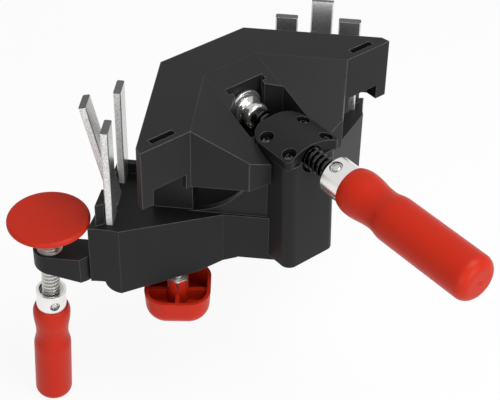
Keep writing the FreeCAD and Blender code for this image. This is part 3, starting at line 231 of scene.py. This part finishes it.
class StudioSizes(bpy.types.PropertyGroup):
    """Camera, floor and world."""
    azimuth: angle_prop("Azimuth", "Turn of the view about the upright axis", math.radians(-39.284))
    elevation: angle_prop("Elevation", "Height of the view above the horizon", math.radians(39.448))
    roll: angle_prop("Roll", "Turn of the view about its own line of sight", math.radians(1.090))
    eye: FloatVectorProperty(name="Eye", description="Place of the camera", subtype="TRANSLATION", size=3,
                             default=(-0.4651, -0.55884, 0.58085))
    lens: FloatProperty(name="Lens", description="Focal length", default=101.44, unit="CAMERA")
    sensor: FloatProperty(name="Sensor", description="Width of the sensor", default=36.0, unit="CAMERA")
    nearest: length_prop("Nearest", "Nearest distance that the camera shows", 0.01)
    floor_gap: length_prop("Floor gap", "Height of the clamp's lowest point over the floor", 0.5 * MM)
    floor_width: length_prop("Floor width", "Width of the floor", 8.0)
    floor_grey: colour_prop("Floor grey", "Colour of the floor under the light", (0.85, 0.85, 0.85))
    floor_glow: share_prop("Floor glow", "Share of pure white in the floor that the camera sees", 0.9)
    fill: FloatProperty(name="Fill", description="Strength of the world's light on the clamp", default=0.5)
    backdrop: FloatProperty(name="Backdrop", description="Strength of the world that the camera sees",
                            default=1.0)


class Value:
    """A socket whose arithmetic adds Math nodes."""

    def __init__(self, shader, socket):
        self.shader = shader
        self.socket = socket

    def combine(self, operation, first, second):
        return self.shader.add("ShaderNodeMath", {"operation": operation}, {0: first, 1: second})["Value"]

    def __add__(self, other):
        return self.combine("ADD", self, other)

    def __radd__(self, other):
        return self.combine("ADD", other, self)

    def __sub__(self, other):
        return self.combine("SUBTRACT", self, other)

    def __rsub__(self, other):
        return self.combine("SUBTRACT", other, self)

    def __mul__(self, other):
        return self.combine("MULTIPLY", self, other)

    def __rmul__(self, other):
        return self.combine("MULTIPLY", other, self)

    def larger(self, other):
        return self.combine("MAXIMUM", self, other)


class Outputs:
    """Outputs of one node, by name."""

    def __init__(self, shader, node):
        self.shader = shader
        self.node = node

    def __getitem__(self, name):
        return Value(self.shader, self.node.outputs[name])


class Shader:
    """Nodes of a material or world, with one method that adds any node."""

    def __init__(self, owner):
        owner.use_nodes = True
        self.tree = owner.node_tree
        self.tree.nodes.clear()

    def add(self, kind, settings=None, sockets=None):
        """Node of a kind: its settings first, then the values or links of its sockets."""
        node = self.tree.nodes.new(kind)
        for name, setting in (settings or {}).items():
            if name == "stops":
                self.set_stops(node, setting)
            else:
                setattr(node, name, setting)
        for name, content in (sockets or {}).items():
            if isinstance(content, Value):
                self.tree.links.new(content.socket, node.inputs[name])
            else:
                node.inputs[name].default_value = content
        return Outputs(self, node)

    def set_stops(self, node, stops):
        """Give a colour ramp its stops as (place, grey)."""
        ramp = node.color_ramp
        while len(ramp.elements) < len(stops):
            ramp.elements.new(0.5)
        for element, (spot, grey) in zip(ramp.elements, stops):
            element.position = spot
            element.color = (grey, grey, grey, 1.0)

    def vectors(self, operation, *vectors):
        """Vector Math node of one or two vectors."""
        return self.add("ShaderNodeVectorMath", {"operation": operation}, dict(enumerate(vectors)))

    def shown(self, hidden, seen):
        """One shader for light that falls on things, another for what camera, metal and glass show."""
        rays = self.add("ShaderNodeLightPath")
        watched = rays["Is Camera Ray"].larger(rays["Is Glossy Ray"]).larger(rays["Is Transmission Ray"])
        return self.add("ShaderNodeMixShader", None, {0: watched, 1: hidden, 2: seen})["Shader"]


class Finish(Shader):
    """A material that is being built."""

    def __init__(self, name):
        self.material = bpy.data.materials.new(name)
        super().__init__(self.material)
        self.place = self.add("ShaderNodeTexCoord")["Object"]

    def noise(self, scale, detail=2.0, stretch=(1, 1, 1)):
        """Noise over the object's own coordinates, stretched along its axes."""
        spot = self.add("ShaderNodeMapping", None, {"Vector": self.place, "Scale": stretch})["Vector"]
        sockets = {"Vector": spot, "Scale": scale, "Detail": detail}
        return self.add("ShaderNodeTexNoise", None, sockets)["Fac"]

    def steps(self, source, *stops):
        """Grey ramp of a value."""
        return self.add("ShaderNodeValToRGB", {"stops": stops}, {"Fac": source})["Color"]

    def blend(self, factor, first, second):
        """Mix of two colours."""
        first, second = [c if isinstance(c, Value) else tuple(c) + (1.0,) for c in (first, second)]
        node = self.add("ShaderNodeMix", {"data_type": "RGBA"}, {0: factor, 6: first, 7: second})
        return Value(self, node.node.outputs[2])

    def edge(self, radius, samples=4):
        """Rounded normal and a mask that is high along the edges."""
        rounded = self.add("ShaderNodeBevel", {"samples": samples}, {"Radius": radius})["Normal"]
        flat = self.add("ShaderNodeNewGeometry")["Normal"]
        likeness = self.vectors("DOT_PRODUCT", rounded, flat)["Value"]
        return rounded, self.steps(1.0 - likeness, (0.0, 0.0), (EDGE_BEND, 1.0))

    def bump(self, height, depth, strength, normal):
        """Bump of a height field over another normal."""
        sockets = {"Height": height, "Distance": depth, "Strength": strength, "Normal": normal}
        return self.add("ShaderNodeBump", None, sockets)["Normal"]

    def surface(self, sockets):
        """Principled shader on the output; returns the material."""
        shader = self.add("ShaderNodeBsdfPrincipled", None, sockets)["BSDF"]
        self.add("ShaderNodeOutputMaterial", None, {"Surface": shader})
        return self.material


def tinted(colour, share, most=1.0):
    """Colour made darker or paler, up to a limit."""
    return [min(c * share, most) for c in colour]


def black_plastic(name, colour, edge_highlight_grey=0.16):
    """Glass-filled black plastic with a fine eroded grain and edges lightened to a grey as a painted
    highlight.
    """
    finish = Finish(name)
    rounded, edge = finish.edge(0.6 * MM, samples=6)
    grain = finish.noise(scale=2600.0)
    cloud = finish.noise(scale=45.0, detail=3.0)
    shade = finish.blend(cloud, tinted(colour, 0.92), tinted(colour, 1.10))
    # Edges blended towards a light grey: a painted highlight along the rounded edges.
    edge_highlighted = finish.blend(edge * 0.8, shade, [edge_highlight_grey] * 3)
    rough = 0.36 + 0.10 * grain + 0.04 * cloud - 0.08 * edge
    relief = finish.bump(grain, depth=0.03 * MM, strength=0.35, normal=rounded)
    return finish.surface({"Base Color": edge_highlighted, "Roughness": rough, "Specular IOR Level": 0.16,
                           "Normal": relief})


def red_plastic(name, colour, edge_highlight_colour):
    """Satin red plastic with faint flow marks, and edges paled as a painted highlight."""
    finish = Finish(name)
    rounded, edge = finish.edge(0.4 * MM)
    flow = finish.noise(scale=60.0)
    orange_peel = finish.noise(scale=700.0, detail=1.0)
    shade = finish.blend(flow, tinted(colour, 0.96), tinted(colour, 1.04))
    # Edges blended towards the paler red: a painted highlight along the rounded edges.
    highlighted_red = finish.blend(edge * 0.25, shade, edge_highlight_colour)
    relief = finish.bump(orange_peel, depth=0.02 * MM, strength=0.25, normal=rounded)
    return finish.surface({"Base Color": highlighted_red, "Roughness": 0.34 + 0.06 * orange_peel,
                           "Specular IOR Level": 0.14, "Normal": relief})


def rivet_rings(finish, pin):
    """Raised ring and grooves darkened as painted shade around a cross pin, as two masks on the metal that
    it goes through.
    """
    corners = [vertex.co for vertex in NODES[pin].data.vertices]
    low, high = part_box(pin)
    centre = centre_of(pin)
    longest = max(range(3), key=lambda side: (high - low)[side])
    ends = [[corner for corner in corners if (corner[longest] > centre[longest]) == upper]
            for upper in (True, False)]
    top, bottom = [sum(end, Vector()) / len(end) for end in ends]
    along = (top - bottom).normalized()
    radius = max((corner - centre).cross(along).length for corner in corners)
    offset = finish.vectors("SUBTRACT", finish.place, centre)["Vector"]
    across = finish.vectors("CROSS_PRODUCT", offset, along)["Vector"]
    reach = finish.vectors("LENGTH", across)["Value"] * (PIN_EDGE / radius)
    return finish.steps(reach, *RIDGE_STOPS), finish.steps(reach, *GROOVE_SHADE_STOPS)


def plated_metal(name, colour, rough, wear=0.5, grain=900.0, relief=0.3, metallic=1.0, pin=None):
    """Plated or turned metal with fine marks, a dulled tone in patches, and edges paled as a painted
    highlight.
    """
    finish = Finish(name)
    rounded, edge = finish.edge(0.3 * MM)
    marks = finish.noise(scale=grain)
    patch = finish.noise(scale=120.0, detail=3.0)
    dull = finish.steps(patch, (0.35, 0.0), (0.75, 1.0))
    shade = finish.blend(dull * wear, colour, tinted(colour, DULLED))
    # Edges paled towards the palest tone: a painted highlight along the rounded edges.
    bright = finish.blend(edge * 0.4, shade, tinted(colour, POLISH_AND_HIGHLIGHT, PALEST))
    relieved = finish.bump(marks, depth=0.01 * MM, strength=relief, normal=rounded)
    if pin:
        ridge, groove = rivet_rings(finish, pin)
        # Grooves around the pin darkened: painted shade.
        bright = finish.blend(groove * 0.9, bright, PAINTED_GROOVE_SHADE)
        relieved = finish.bump(ridge, depth=RIDGE_HEIGHT, strength=1.0, normal=relieved)
    return finish.surface({"Base Color": bright, "Metallic": metallic,
                           "Roughness": rough + 0.10 * marks + 0.12 * dull * wear, "Normal": relieved})


def galvanised_steel(name, colour, sawn, along):
    """Hot-dipped flat steel: shiny wide faces, grainy narrow ones across the given way, dark sawn tops."""
    finish = Finish(name)
    rounded, edge = finish.edge(0.5 * MM)
    cells = finish.add("ShaderNodeTexVoronoi", {"feature": "F1"},
                       {"Vector": finish.place, "Scale": 1100.0})["Distance"]
    grit = finish.noise(scale=1500.0, detail=3.0, stretch=(1.0, 1.0, 0.55))
    facing = finish.add("ShaderNodeNewGeometry")["Normal"]
    up = finish.add("ShaderNodeSeparateXYZ", None, {"Vector": facing})["Z"]
    cut = finish.steps(up, (0.88, 0.0), (0.93, 1.0))
    end_on = finish.vectors("DOT_PRODUCT", facing, along)["Value"]
    narrow = finish.steps(end_on * end_on, (0.45, 0.0), (0.75, 1.0))
    flakes = finish.steps(0.6 * grit + 0.4 * cells, (0.25, 0.0), (0.62, 1.0))
    wide_shade = finish.blend(flakes * 0.45, colour, tinted(colour, 0.66))
    grain_shade = finish.blend(flakes, tinted(colour, POLISH_AND_HIGHLIGHT, PALEST), tinted(colour, DULLED))
    mottled = finish.blend(narrow, wide_shade, grain_shade)
    saw_lines = finish.noise(scale=1600.0, stretch=(0.35, 1.0, 1.0))
    bare = finish.blend(saw_lines, tinted(sawn, 0.75), tinted(sawn, 1.5))
    relief = finish.bump(grit + saw_lines * cut, depth=0.05 * MM, strength=0.45, normal=rounded)
    return finish.surface({"Base Color": finish.blend(cut, mottled, bare),
                           "Metallic": 0.87 - 0.42 * narrow - 0.3 * cut,
                           "Roughness": 0.22 + 0.14 * grit + 0.22 * narrow + 0.25 * cut, "Normal": relief})


def clear_selection():
    """Leave nothing selected or in edit mode."""
    if bpy.context.object and bpy.context.object.mode != "OBJECT":
        bpy.ops.object.mode_set(mode="OBJECT")
    bpy.ops.object.select_all(action="DESELECT")


def pick(piece):
    """Select one piece alone and make it the active one."""
    clear_selection()
    piece.select_set(True)
    bpy.context.view_layer.objects.active = piece


def trace(name, points):
    """Open chain of edges through points, extruded one by one from a single vertex."""
    clear_selection()
    bpy.ops.mesh.primitive_plane_add(size=MM, location=(0, 0, 0))
    piece = bpy.context.object
    piece.name = name
    bpy.ops.object.mode_set(mode="EDIT")
    bpy.ops.mesh.select_all(action="SELECT")
    bpy.ops.mesh.merge(type="CENTER")
    bpy.ops.transform.translate(value=points[0])
    for start, end in zip(points, points[1:]):
        step = Vector(end) - Vector(start)
        bpy.ops.mesh.extrude_region_move(TRANSFORM_OT_translate={"value": step})
    return piece


def merge_doubles():
    """Select the whole mesh and merge its doubles, in edit mode."""
    bpy.ops.mesh.select_all(action="SELECT")
    bpy.ops.mesh.remove_doubles(threshold=WELD)


def close_shell():
    """Merge doubles, turn the faces outwards and leave edit mode."""
    merge_doubles()
    bpy.ops.mesh.normals_make_consistent(inside=False)
    bpy.ops.object.mode_set(mode="OBJECT")


def turned(name, profile, steps=64):
    """Solid turned about Z from a half section of (radius, height) points in metres."""
    piece = trace(name, [(radius, 0.0, height) for radius, height in profile])
    bpy.ops.mesh.select_all(action="SELECT")
    bpy.ops.mesh.spin(steps=steps, angle=2 * math.pi, center=(0, 0, 0), axis=(0, 0, 1))
    close_shell()
    return piece


def arc_angles(angle, steps):
    """Angles from zero to the given one, in equal steps."""
    return [angle * step / steps for step in range(steps + 1)]


def apply_modifiers(piece):
    """Apply every modifier of one piece."""
    pick(piece)
    for modifier in list(piece.modifiers):
        bpy.ops.object.modifier_apply(modifier=modifier.name)


def threaded(name, radius, depth, lead, low, high, crest=0.36, root=0.30, steps=40):
    """Right-hand trapezoidal thread along Z between two heights; crest and root are shares of the lead."""
    inner = radius - depth
    flank = (1.0 - crest - root) / 2
    heights = [0.0, root, root + flank, root + flank + crest, 1.0]
    radii = [inner, inner, radius, radius, inner]
    start = low - lead
    piece = trace(name, [(r, 0.0, start + h * lead) for r, h in zip(radii, heights)])
    bpy.ops.object.mode_set(mode="OBJECT")
    screw = piece.modifiers.new("helix", "SCREW")
    screw.axis = "Z"
    screw.screw_offset = lead
    screw.iterations = math.ceil((high - low) / lead) + 2
    screw.steps = steps
    screw.render_steps = steps
    screw.use_merge_vertices = False
    apply_modifiers(piece)
    bpy.ops.object.mode_set(mode="EDIT")
    merge_doubles()
    for height, upward in ((low, False), (high, True)):
        bpy.ops.mesh.select_all(action="SELECT")
        bpy.ops.mesh.bisect(plane_co=(0, 0, height), plane_no=(0, 0, 1), use_fill=True,
                            clear_outer=upward, clear_inner=not upward)
    close_shell()
    return piece


def join(pieces, name):
    """Join pieces into the first and name it."""
    pick(pieces[0])
    for piece in pieces[1:]:
        piece.select_set(True)
    bpy.ops.object.join()
    pieces[0].name = name
    return pieces[0]


def cut_away(piece, cutter):
    """Take the cutter's shape out of a piece."""
    cut = piece.modifiers.new("cut", "BOOLEAN")
    cut.object = cutter
    cut.operation = "DIFFERENCE"
    cut.solver = "EXACT"
    apply_modifiers(piece)
    bpy.data.objects.remove(cutter)


def put(piece, place, turn=Matrix.Identity(4)):
    """Carry a piece that stands along Z at the origin to its place, in its own mesh."""
    piece.data.transform(Matrix.Translation(place) @ turn)
    piece.data.update()


def install(piece, body, material, node):
    """Give a finished piece smooth shading and its material, attach it to its body, and hide the CAD node
    that it stands for.
    """
    pick(piece)
    bpy.ops.object.shade_smooth_by_angle(angle=SMOOTH_BELOW)
    piece.data.materials.clear()
    piece.data.materials.append(material)
    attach(piece, body)
    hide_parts(node)


# Materials by part, filled by the first operator.
finishes = {}


class CLAMP_OT_finishes(bpy.types.Operator):
    """Make the finishes and give each CAD node its own"""
    bl_idname = "clamp.finishes"
    bl_label = "Finishes"

    def execute(self, context):
        colours = context.scene.clamp_colours
        finishes["base"] = black_plastic("black base plastic", colours.black)
        finishes["jaw"] = black_plastic("black jaw plastic", colours.black)
        # The cap's edges get a fainter painted highlight.
        finishes["cap"] = black_plastic("black cap plastic", tinted(colours.black, 0.7), edge_highlight_grey=0.11)
        finishes["red"] = red_plastic("red plastic", colours.red, colours.edge_highlight_red)
        finishes["zinc"] = plated_metal("zinc plating", colours.zinc, rough=0.28)
        finishes["head"] = plated_metal("bright turned head", tinted(colours.bright, 0.72), rough=0.09,
                                        wear=0.15, grain=3000.0, relief=0.06, metallic=0.88)
        for ferrule, pin in (("ferrule", "ferrule_pin"), ("bench_ferrule", "table_pin")):
            finishes[ferrule] = plated_metal("nickel plating of " + pin, colours.bright, rough=0.10,
                                             wear=0.2, grain=2500.0, relief=0.08, metallic=0.92, pin=pin)
        finishes["screw"] = plated_metal("oiled screw steel", colours.screw, rough=0.14, wear=0.3,
                                         grain=1500.0, relief=0.15)
        finishes["dark_zinc"] = plated_metal("black oxide screws", tinted(colours.zinc, 0.14), rough=0.16,
                                             wear=0.3)
        for side, way in (("left", 1.0), ("right", -1.0)):
            finishes["bars_" + side] = galvanised_steel(
                "galvanised flat steel " + side, colours.galvanised, colours.sawn,
                (way * math.sqrt(0.5), math.sqrt(0.5), 0.0))
        small_steel = ("knob_nut", "knob_washer", "knob_bush", "cap_screw")
        chosen = {
            "base": ["base_frame"],
            "jaw": ["clamp_jaw"],
            "cap": ["post_cap"],
            "red": ["main_handle", "table_handle", "pressure_disc", "clamp_knob_left"],
            "zinc": ["table_nut", "swivel_bush", "spindle_nut", "table_spindle", "knob_bolt_left"]
                    + [name for name in NODES if name.startswith(small_steel)],
            "head": ["swivel_head", "spindle_collar", "ferrule_pin", "table_pin"],
            "ferrule": ["main_ferrule"],
            "bench_ferrule": ["table_ferrule"],
            "screw": ["main_spindle"],
            "bars_left": [name for name in NODES if "_bar_left" in name],
            "bars_right": [name for name in NODES if "_bar_right" in name],
        }
        for finish, names in chosen.items():
            for name in names:
                dress(NODES[name], finishes[finish])
        return {"FINISHED"}


def dress(node, material):
    """Put one material on every slot of a CAD node."""
    if not node.data.materials:
        node.data.materials.append(material)
    for index in range(len(node.data.materials)):
        node.data.materials[index] = material


class CLAMP_OT_main_screw(bpy.types.Operator):
    """Cut the trapezoidal thread of the main screw"""
    bl_idname = "clamp.main_screw"
    bl_label = "Main screw"

    def execute(self, context):
        threads = context.scene.clamp_threads
        sizes = context.scene.clamp_main_screw
        low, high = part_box("main_spindle")
        radius = (high.x - low.x) / 2
        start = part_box("main_ferrule")[1].y - sizes.overlap - low.y
        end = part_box("spindle_collar")[0].y - sizes.overlap - low.y
        top = high.y - low.y
        thread = threaded("main_screw_thread", radius, threads.main_depth, threads.main_lead, start, end)
        tail = turned("main_screw_tail", [(0, 0), (sizes.tail_radius, 0), (sizes.tail_radius, start),
                                          (0, start)])
        stub = turned("main_screw_stub", [(0, end), (radius - threads.main_depth, end),
                                          (sizes.stub_radius, end + sizes.shoulder),
                                          (sizes.stub_radius, top), (0, top)])
        piece = join([thread, tail, stub], "main_screw")
        put(piece, Vector((0, low.y, centre_of("main_spindle").z)), ALONG_Y)
        install(piece, "spindle", finishes["screw"], "main_spindle")
        return {"FINISHED"}


class CLAMP_OT_swivel(bpy.types.Operator):
    """Turn the grooved swivel head, and the collar with its lock ring"""
    bl_idname = "clamp.swivel"
    bl_label = "Swivel head and collar"

    def execute(self, context):
        sizes = context.scene.clamp_swivel
        centre = centre_of("swivel_head")
        axis = Vector((centre.x, 0, centre.z))
        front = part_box("swivel_head")[1].y
        head = turned("swivel_head_turned",
                      [(radius, front - depth) for radius, depth in head_section(sizes)], steps=72)
        put(head, axis, ALONG_Y)
        install(head, "spindle", finishes["head"], "swivel_head")
        low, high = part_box("spindle_collar")
        collar = turned("collar_turned", collar_section(sizes, low.y, high.y), steps=72)
        star = lock_ring("collar_lock_ring", sizes)
        put(star, Vector((0, 0, low.y + sizes.lock_place * sizes.hollow_depth)))
        collar = join([collar, star], "collar_with_lock_ring")
        put(collar, axis, ALONG_Y)
        install(collar, "spindle", finishes["head"], "spindle_collar")
        return {"FINISHED"}


def head_section(sizes):
    """Half section of the swivel head as (radius, depth behind the flange's front)."""
    ring = sizes.flange_thick + sizes.groove
    flange = [(0, 0), (sizes.flange_radius - sizes.flange_front, 0),
              (sizes.flange_radius, sizes.flange_front),
              (sizes.flange_radius, sizes.flange_thick - sizes.flange_back),
              (sizes.flange_radius - sizes.flange_back, sizes.flange_thick)]
    groove = [(sizes.ring_radius - sizes.groove_depth, sizes.flange_thick + sizes.groove_slope)]
    rings = [(sizes.ring_radius - inset * MM, ring + depth * MM) for inset, depth in RING_SECTION]
    neck = [(sizes.neck_radius + flare * MM, ring + depth * MM) for flare, depth in NECK_SECTION]
    end = [(sizes.neck_radius - sizes.neck_taper, sizes.head_length), (0, sizes.head_length)]
    return flange + groove + rings + neck + end


def collar_section(sizes, low, high):
    """Closed half section of the collar between two heights as (radius, height)."""
    bead_centre = sizes.collar_radius - sizes.bead
    bead = [(bead_centre + sizes.bead * math.sin(turn), low + sizes.bead - sizes.bead * math.cos(turn))
            for turn in arc_angles(math.pi / 2, steps=6)]
    hollow_floor = low + sizes.hollow_depth
    inner = [(sizes.hollow_radius + sizes.hollow_edge, low), (sizes.hollow_radius, low + sizes.hollow_edge),
             (sizes.hollow_radius, hollow_floor), (sizes.bore_radius, hollow_floor),
             (sizes.bore_radius, high)]
    rim = [(sizes.collar_radius - sizes.collar_edge, high), (sizes.collar_radius, high - sizes.collar_edge)]
    return bead[::-1] + inner + rim + bead[-1:]


def lock_ring(name, sizes):
    """Flat ring whose outer edge is cut into teeth, for the collar's hollow."""
    inner = sizes.bore_radius + sizes.lock_gap
    outer = sizes.hollow_radius - sizes.lock_gap
    corners = 4 * sizes.lock_teeth
    clear_selection()
    bpy.ops.mesh.primitive_circle_add(vertices=corners, radius=inner, fill_type="NOTHING")
    ring = bpy.context.object
    ring.name = name
    bpy.ops.object.mode_set(mode="EDIT")
    bpy.ops.mesh.select_all(action="SELECT")
    bpy.ops.mesh.extrude_edges_move()
    bpy.ops.transform.resize(value=(outer / inner, outer / inner, 1), center_override=(0, 0, 0))
    bpy.ops.object.mode_set(mode="OBJECT")
    for vertex in ring.data.vertices[corners:]:
        if vertex.index // 2 % 2:
            vertex.co *= (inner + sizes.lock_root * (outer - inner)) / outer
    bpy.ops.object.mode_set(mode="EDIT")
    bpy.ops.mesh.select_all(action="SELECT")
    bpy.ops.mesh.extrude_region_move(TRANSFORM_OT_translate={"value": (0, 0, sizes.lock_thick)})
    close_shell()
    return ring


class CLAMP_OT_bench_screw(bpy.types.Operator):
    """Cut the thread of the bench clamp's screw along its leaning axis"""
    bl_idname = "clamp.bench_screw"
    bl_label = "Bench screw"

    def execute(self, context):
        threads = context.scene.clamp_threads
        sizes = context.scene.clamp_bench_screw
        hinge = next(joint for joint in frame["joints"] if joint["name"] == "table_spin")
        piece = threaded("bench_screw_thread", sizes.radius, threads.bench_depth, threads.bench_lead,
                         sizes.floor, sizes.top)
        above = sizes.top + OVERRUN
        bore = turned("bore_cutter", [(0, sizes.bore_floor), (sizes.bore_radius, sizes.bore_floor),
                                      (sizes.bore_radius, above), (0, above)])
        cut_away(piece, bore)
        tail = turned("bench_screw_tail", [(0, sizes.tail_end), (sizes.tail_radius, sizes.tail_end),
                                           (sizes.tail_radius, sizes.floor), (0, sizes.floor)])
        piece = join([piece, tail], "bench_screw")
        lean = Vector((0, 0, 1)).rotation_difference(Vector(hinge["axis"])).to_matrix().to_4x4()
        put(piece, Vector(hinge["pos_m"]), lean)
        install(piece, "bench_spindle", finishes["zinc"], "table_spindle")
        return {"FINISHED"}


class CLAMP_OT_knob_bolt(bpy.types.Operator):
    """Cut the thread of the knob's bolt"""
    bl_idname = "clamp.knob_bolt"
    bl_label = "Knob bolt"

    def execute(self, context):
        threads = context.scene.clamp_threads
        low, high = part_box("knob_bolt_left")
        middle = centre_of("knob_bolt_left")
        bolt = threaded("knob_bolt", (high.x - low.x) / 2, threads.bolt_depth, threads.bolt_lead,
                        low.z, high.z, crest=0.15, root=0.15, steps=24)
        put(bolt, Vector((middle.x, middle.y, 0)))
        install(bolt, "knob_left", finishes["zinc"], "knob_bolt_left")
        return {"FINISHED"}


class CLAMP_OT_cap_screws(bpy.types.Operator):
    """Model the four cross-recess screws of the cap"""
    bl_idname = "clamp.cap_screws"
    bl_label = "Cap screws"

    def execute(self, context):
        sizes = context.scene.clamp_cap_screws
        names = sorted(name for name in NODES if name.startswith("cap_screw"))
        for name, turn in zip(names, RECESS_TURNS):
            low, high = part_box(name)
            middle = centre_of(name)
            screw = turned("screw_" + name, screw_section(sizes, low, high), steps=40)
            for arm_turn in (math.radians(turn), math.radians(turn + 90)):
                cut_away(screw, slot_cutter(sizes, high.z, arm_turn))
            put(screw, Vector((middle.x, middle.y, 0)))
            install(screw, "base", finishes["dark_zinc"], name)
        return {"FINISHED"}


def screw_section(sizes, low, high):
    """Half section of a pan-head screw that fills the box of its CAD node."""
    radius = (high.x - low.x) / 2
    seat = high.z - sizes.head_height
    fall = radius * sizes.dome_rise / (1 - math.cos(sizes.dome_angle))
    dome = [(radius * math.sin(angle), high.z - fall * (1 - math.cos(angle)))
            for angle in arc_angles(sizes.dome_angle, steps=7)]
    shank = [(0, low.z), (sizes.shank_radius, low.z), (sizes.shank_radius, seat)]
    return shank + [(radius, seat), (radius, dome[-1][1] - sizes.head_edge)] + dome[::-1]


def slot_cutter(sizes, top, turn):
    """Bar that cuts one arm of a screw's cross recess."""
    clear_selection()
    bpy.ops.mesh.primitive_cube_add(size=1.0, location=(0, 0, 0))
    arm = bpy.context.object
    arm.data.transform(Matrix.Rotation(turn, 4, "Z") @ Matrix.Translation((0, 0, top))
                       @ Matrix.Diagonal((sizes.slot_length, sizes.slot_width, 2 * sizes.slot_depth, 1)))
    return arm


class CLAMP_OT_studio(bpy.types.Operator):
    """Set up floor, world, lamps and camera"""
    bl_idname = "clamp.studio"
    bl_label = "Studio"

    def execute(self, context):
        sizes = context.scene.clamp_studio
        low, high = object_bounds()
        middle = Vector([(a + b) / 2 for a, b in zip(low, high)])
        floor(sizes, low[2] - sizes.floor_gap)
        world(sizes)
        for name, offset, width, power in LAMPS:
            lamp(name, middle + Vector(offset), middle, width, power)
        camera(sizes)
        context.scene.view_settings.view_transform = "Standard"
        return {"FINISHED"}


def floor(sizes, height):
    """Pale floor that keeps the clamp's shadow and is nearly white where the camera or metal sees it."""
    clear_selection()
    bpy.ops.mesh.primitive_plane_add(size=sizes.floor_width, location=(0, 0, height))
    plane = bpy.context.object
    plane.name = "studio_floor"
    material = bpy.data.materials.new("pale floor")
    shader = Shader(material)
    white = shader.add("ShaderNodeEmission", None, {"Color": (1, 1, 1, 1), "Strength": 1.0})["Emission"]
    matt = shader.add("ShaderNodeBsdfDiffuse", None, {"Color": tuple(sizes.floor_grey) + (1,)})["BSDF"]
    glow = shader.add("ShaderNodeMixShader", None, {0: sizes.floor_glow, 1: matt, 2: white})["Shader"]
    shader.add("ShaderNodeOutputMaterial", None, {"Surface": shader.shown(matt, glow)})
    plane.data.materials.append(material)
    plane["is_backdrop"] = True


def world(sizes):
    """World that is pale to the camera and to metal, and dimmer as light on the clamp."""
    backdrop = bpy.data.worlds.new("studio_world")
    bpy.context.scene.world = backdrop
    shader = Shader(backdrop)
    dim, pale = [shader.add("ShaderNodeBackground", None, {"Strength": strength})["Background"]
                 for strength in (sizes.fill, sizes.backdrop)]
    shader.add("ShaderNodeOutputWorld", None, {"Surface": shader.shown(dim, pale)})


def lamp(name, place, target, width, power):
    """Square soft lamp aimed at a target."""
    data = bpy.data.lights.new(name, "AREA")
    data.shape = "SQUARE"
    data.size = width
    data.energy = power
    thing = bpy.data.objects.new(name, data)
    bpy.context.scene.collection.objects.link(thing)
    aim = (target - place).to_track_quat("-Z", "Y").to_matrix().to_4x4()
    thing.matrix_world = Matrix.Translation(place) @ aim


def camera(sizes):
    """Camera at the photograph's viewing angle."""
    data = bpy.data.cameras.new("view")
    data.lens = sizes.lens
    data.sensor_width = sizes.sensor
    data.clip_start = sizes.nearest
    thing = bpy.data.objects.new("view", data)
    bpy.context.scene.collection.objects.link(thing)
    thing.matrix_world = (Matrix.Translation(sizes.eye) @ Matrix.Rotation(sizes.azimuth, 4, "Z")
                          @ Matrix.Rotation(math.pi / 2 - sizes.elevation, 4, "X")
                          @ Matrix.Rotation(sizes.roll, 4, "Z"))
    bpy.context.scene.camera = thing


class CLAMP_PT_panel(bpy.types.Panel):
    """Sizes, colours and steps of the clamp"""
    bl_idname = "CLAMP_PT_panel"
    bl_label = "Corner clamp"
    bl_space_type = "VIEW_3D"
    bl_region_type = "UI"
    bl_category = "Clamp"

    def draw(self, context):
        layout = self.layout
        for name, group in GROUPS.items():
            box = layout.box()
            for prop in group.__annotations__:
                box.prop(getattr(context.scene, name), prop)
        for step in STEPS:
            layout.operator(step.bl_idname)


GROUPS = {"clamp_threads": ThreadSizes, "clamp_main_screw": MainScrewSizes,
          "clamp_bench_screw": BenchScrewSizes, "clamp_swivel": SwivelSizes,
          "clamp_cap_screws": CapScrewSizes, "clamp_colours": FinishColours, "clamp_studio": StudioSizes}
STEPS = (CLAMP_OT_finishes, CLAMP_OT_main_screw, CLAMP_OT_swivel, CLAMP_OT_bench_screw, CLAMP_OT_knob_bolt,
         CLAMP_OT_cap_screws, CLAMP_OT_studio)


def register():
    """Register the groups of sizes, the steps and the panel."""
    for name, group in GROUPS.items():
        bpy.utils.register_class(group)
        setattr(bpy.types.Scene, name, PointerProperty(type=group))
    for step in STEPS + (CLAMP_PT_panel,):
        bpy.utils.register_class(step)


def unregister():
    """Take everything out again that register put in."""
    for step in STEPS + (CLAMP_PT_panel,):
        bpy.utils.unregister_class(step)
    for name, group in GROUPS.items():
        delattr(bpy.types.Scene, name)
        bpy.utils.unregister_class(group)


def main():
    """Run the steps."""
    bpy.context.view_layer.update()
    register()
    bpy.ops.clamp.finishes()
    bpy.ops.clamp.main_screw()
    bpy.ops.clamp.swivel()
    bpy.ops.clamp.bench_screw()
    bpy.ops.clamp.knob_bolt()
    bpy.ops.clamp.cap_screws()
    bpy.ops.clamp.studio()


if __name__ == "__main__":
    main()
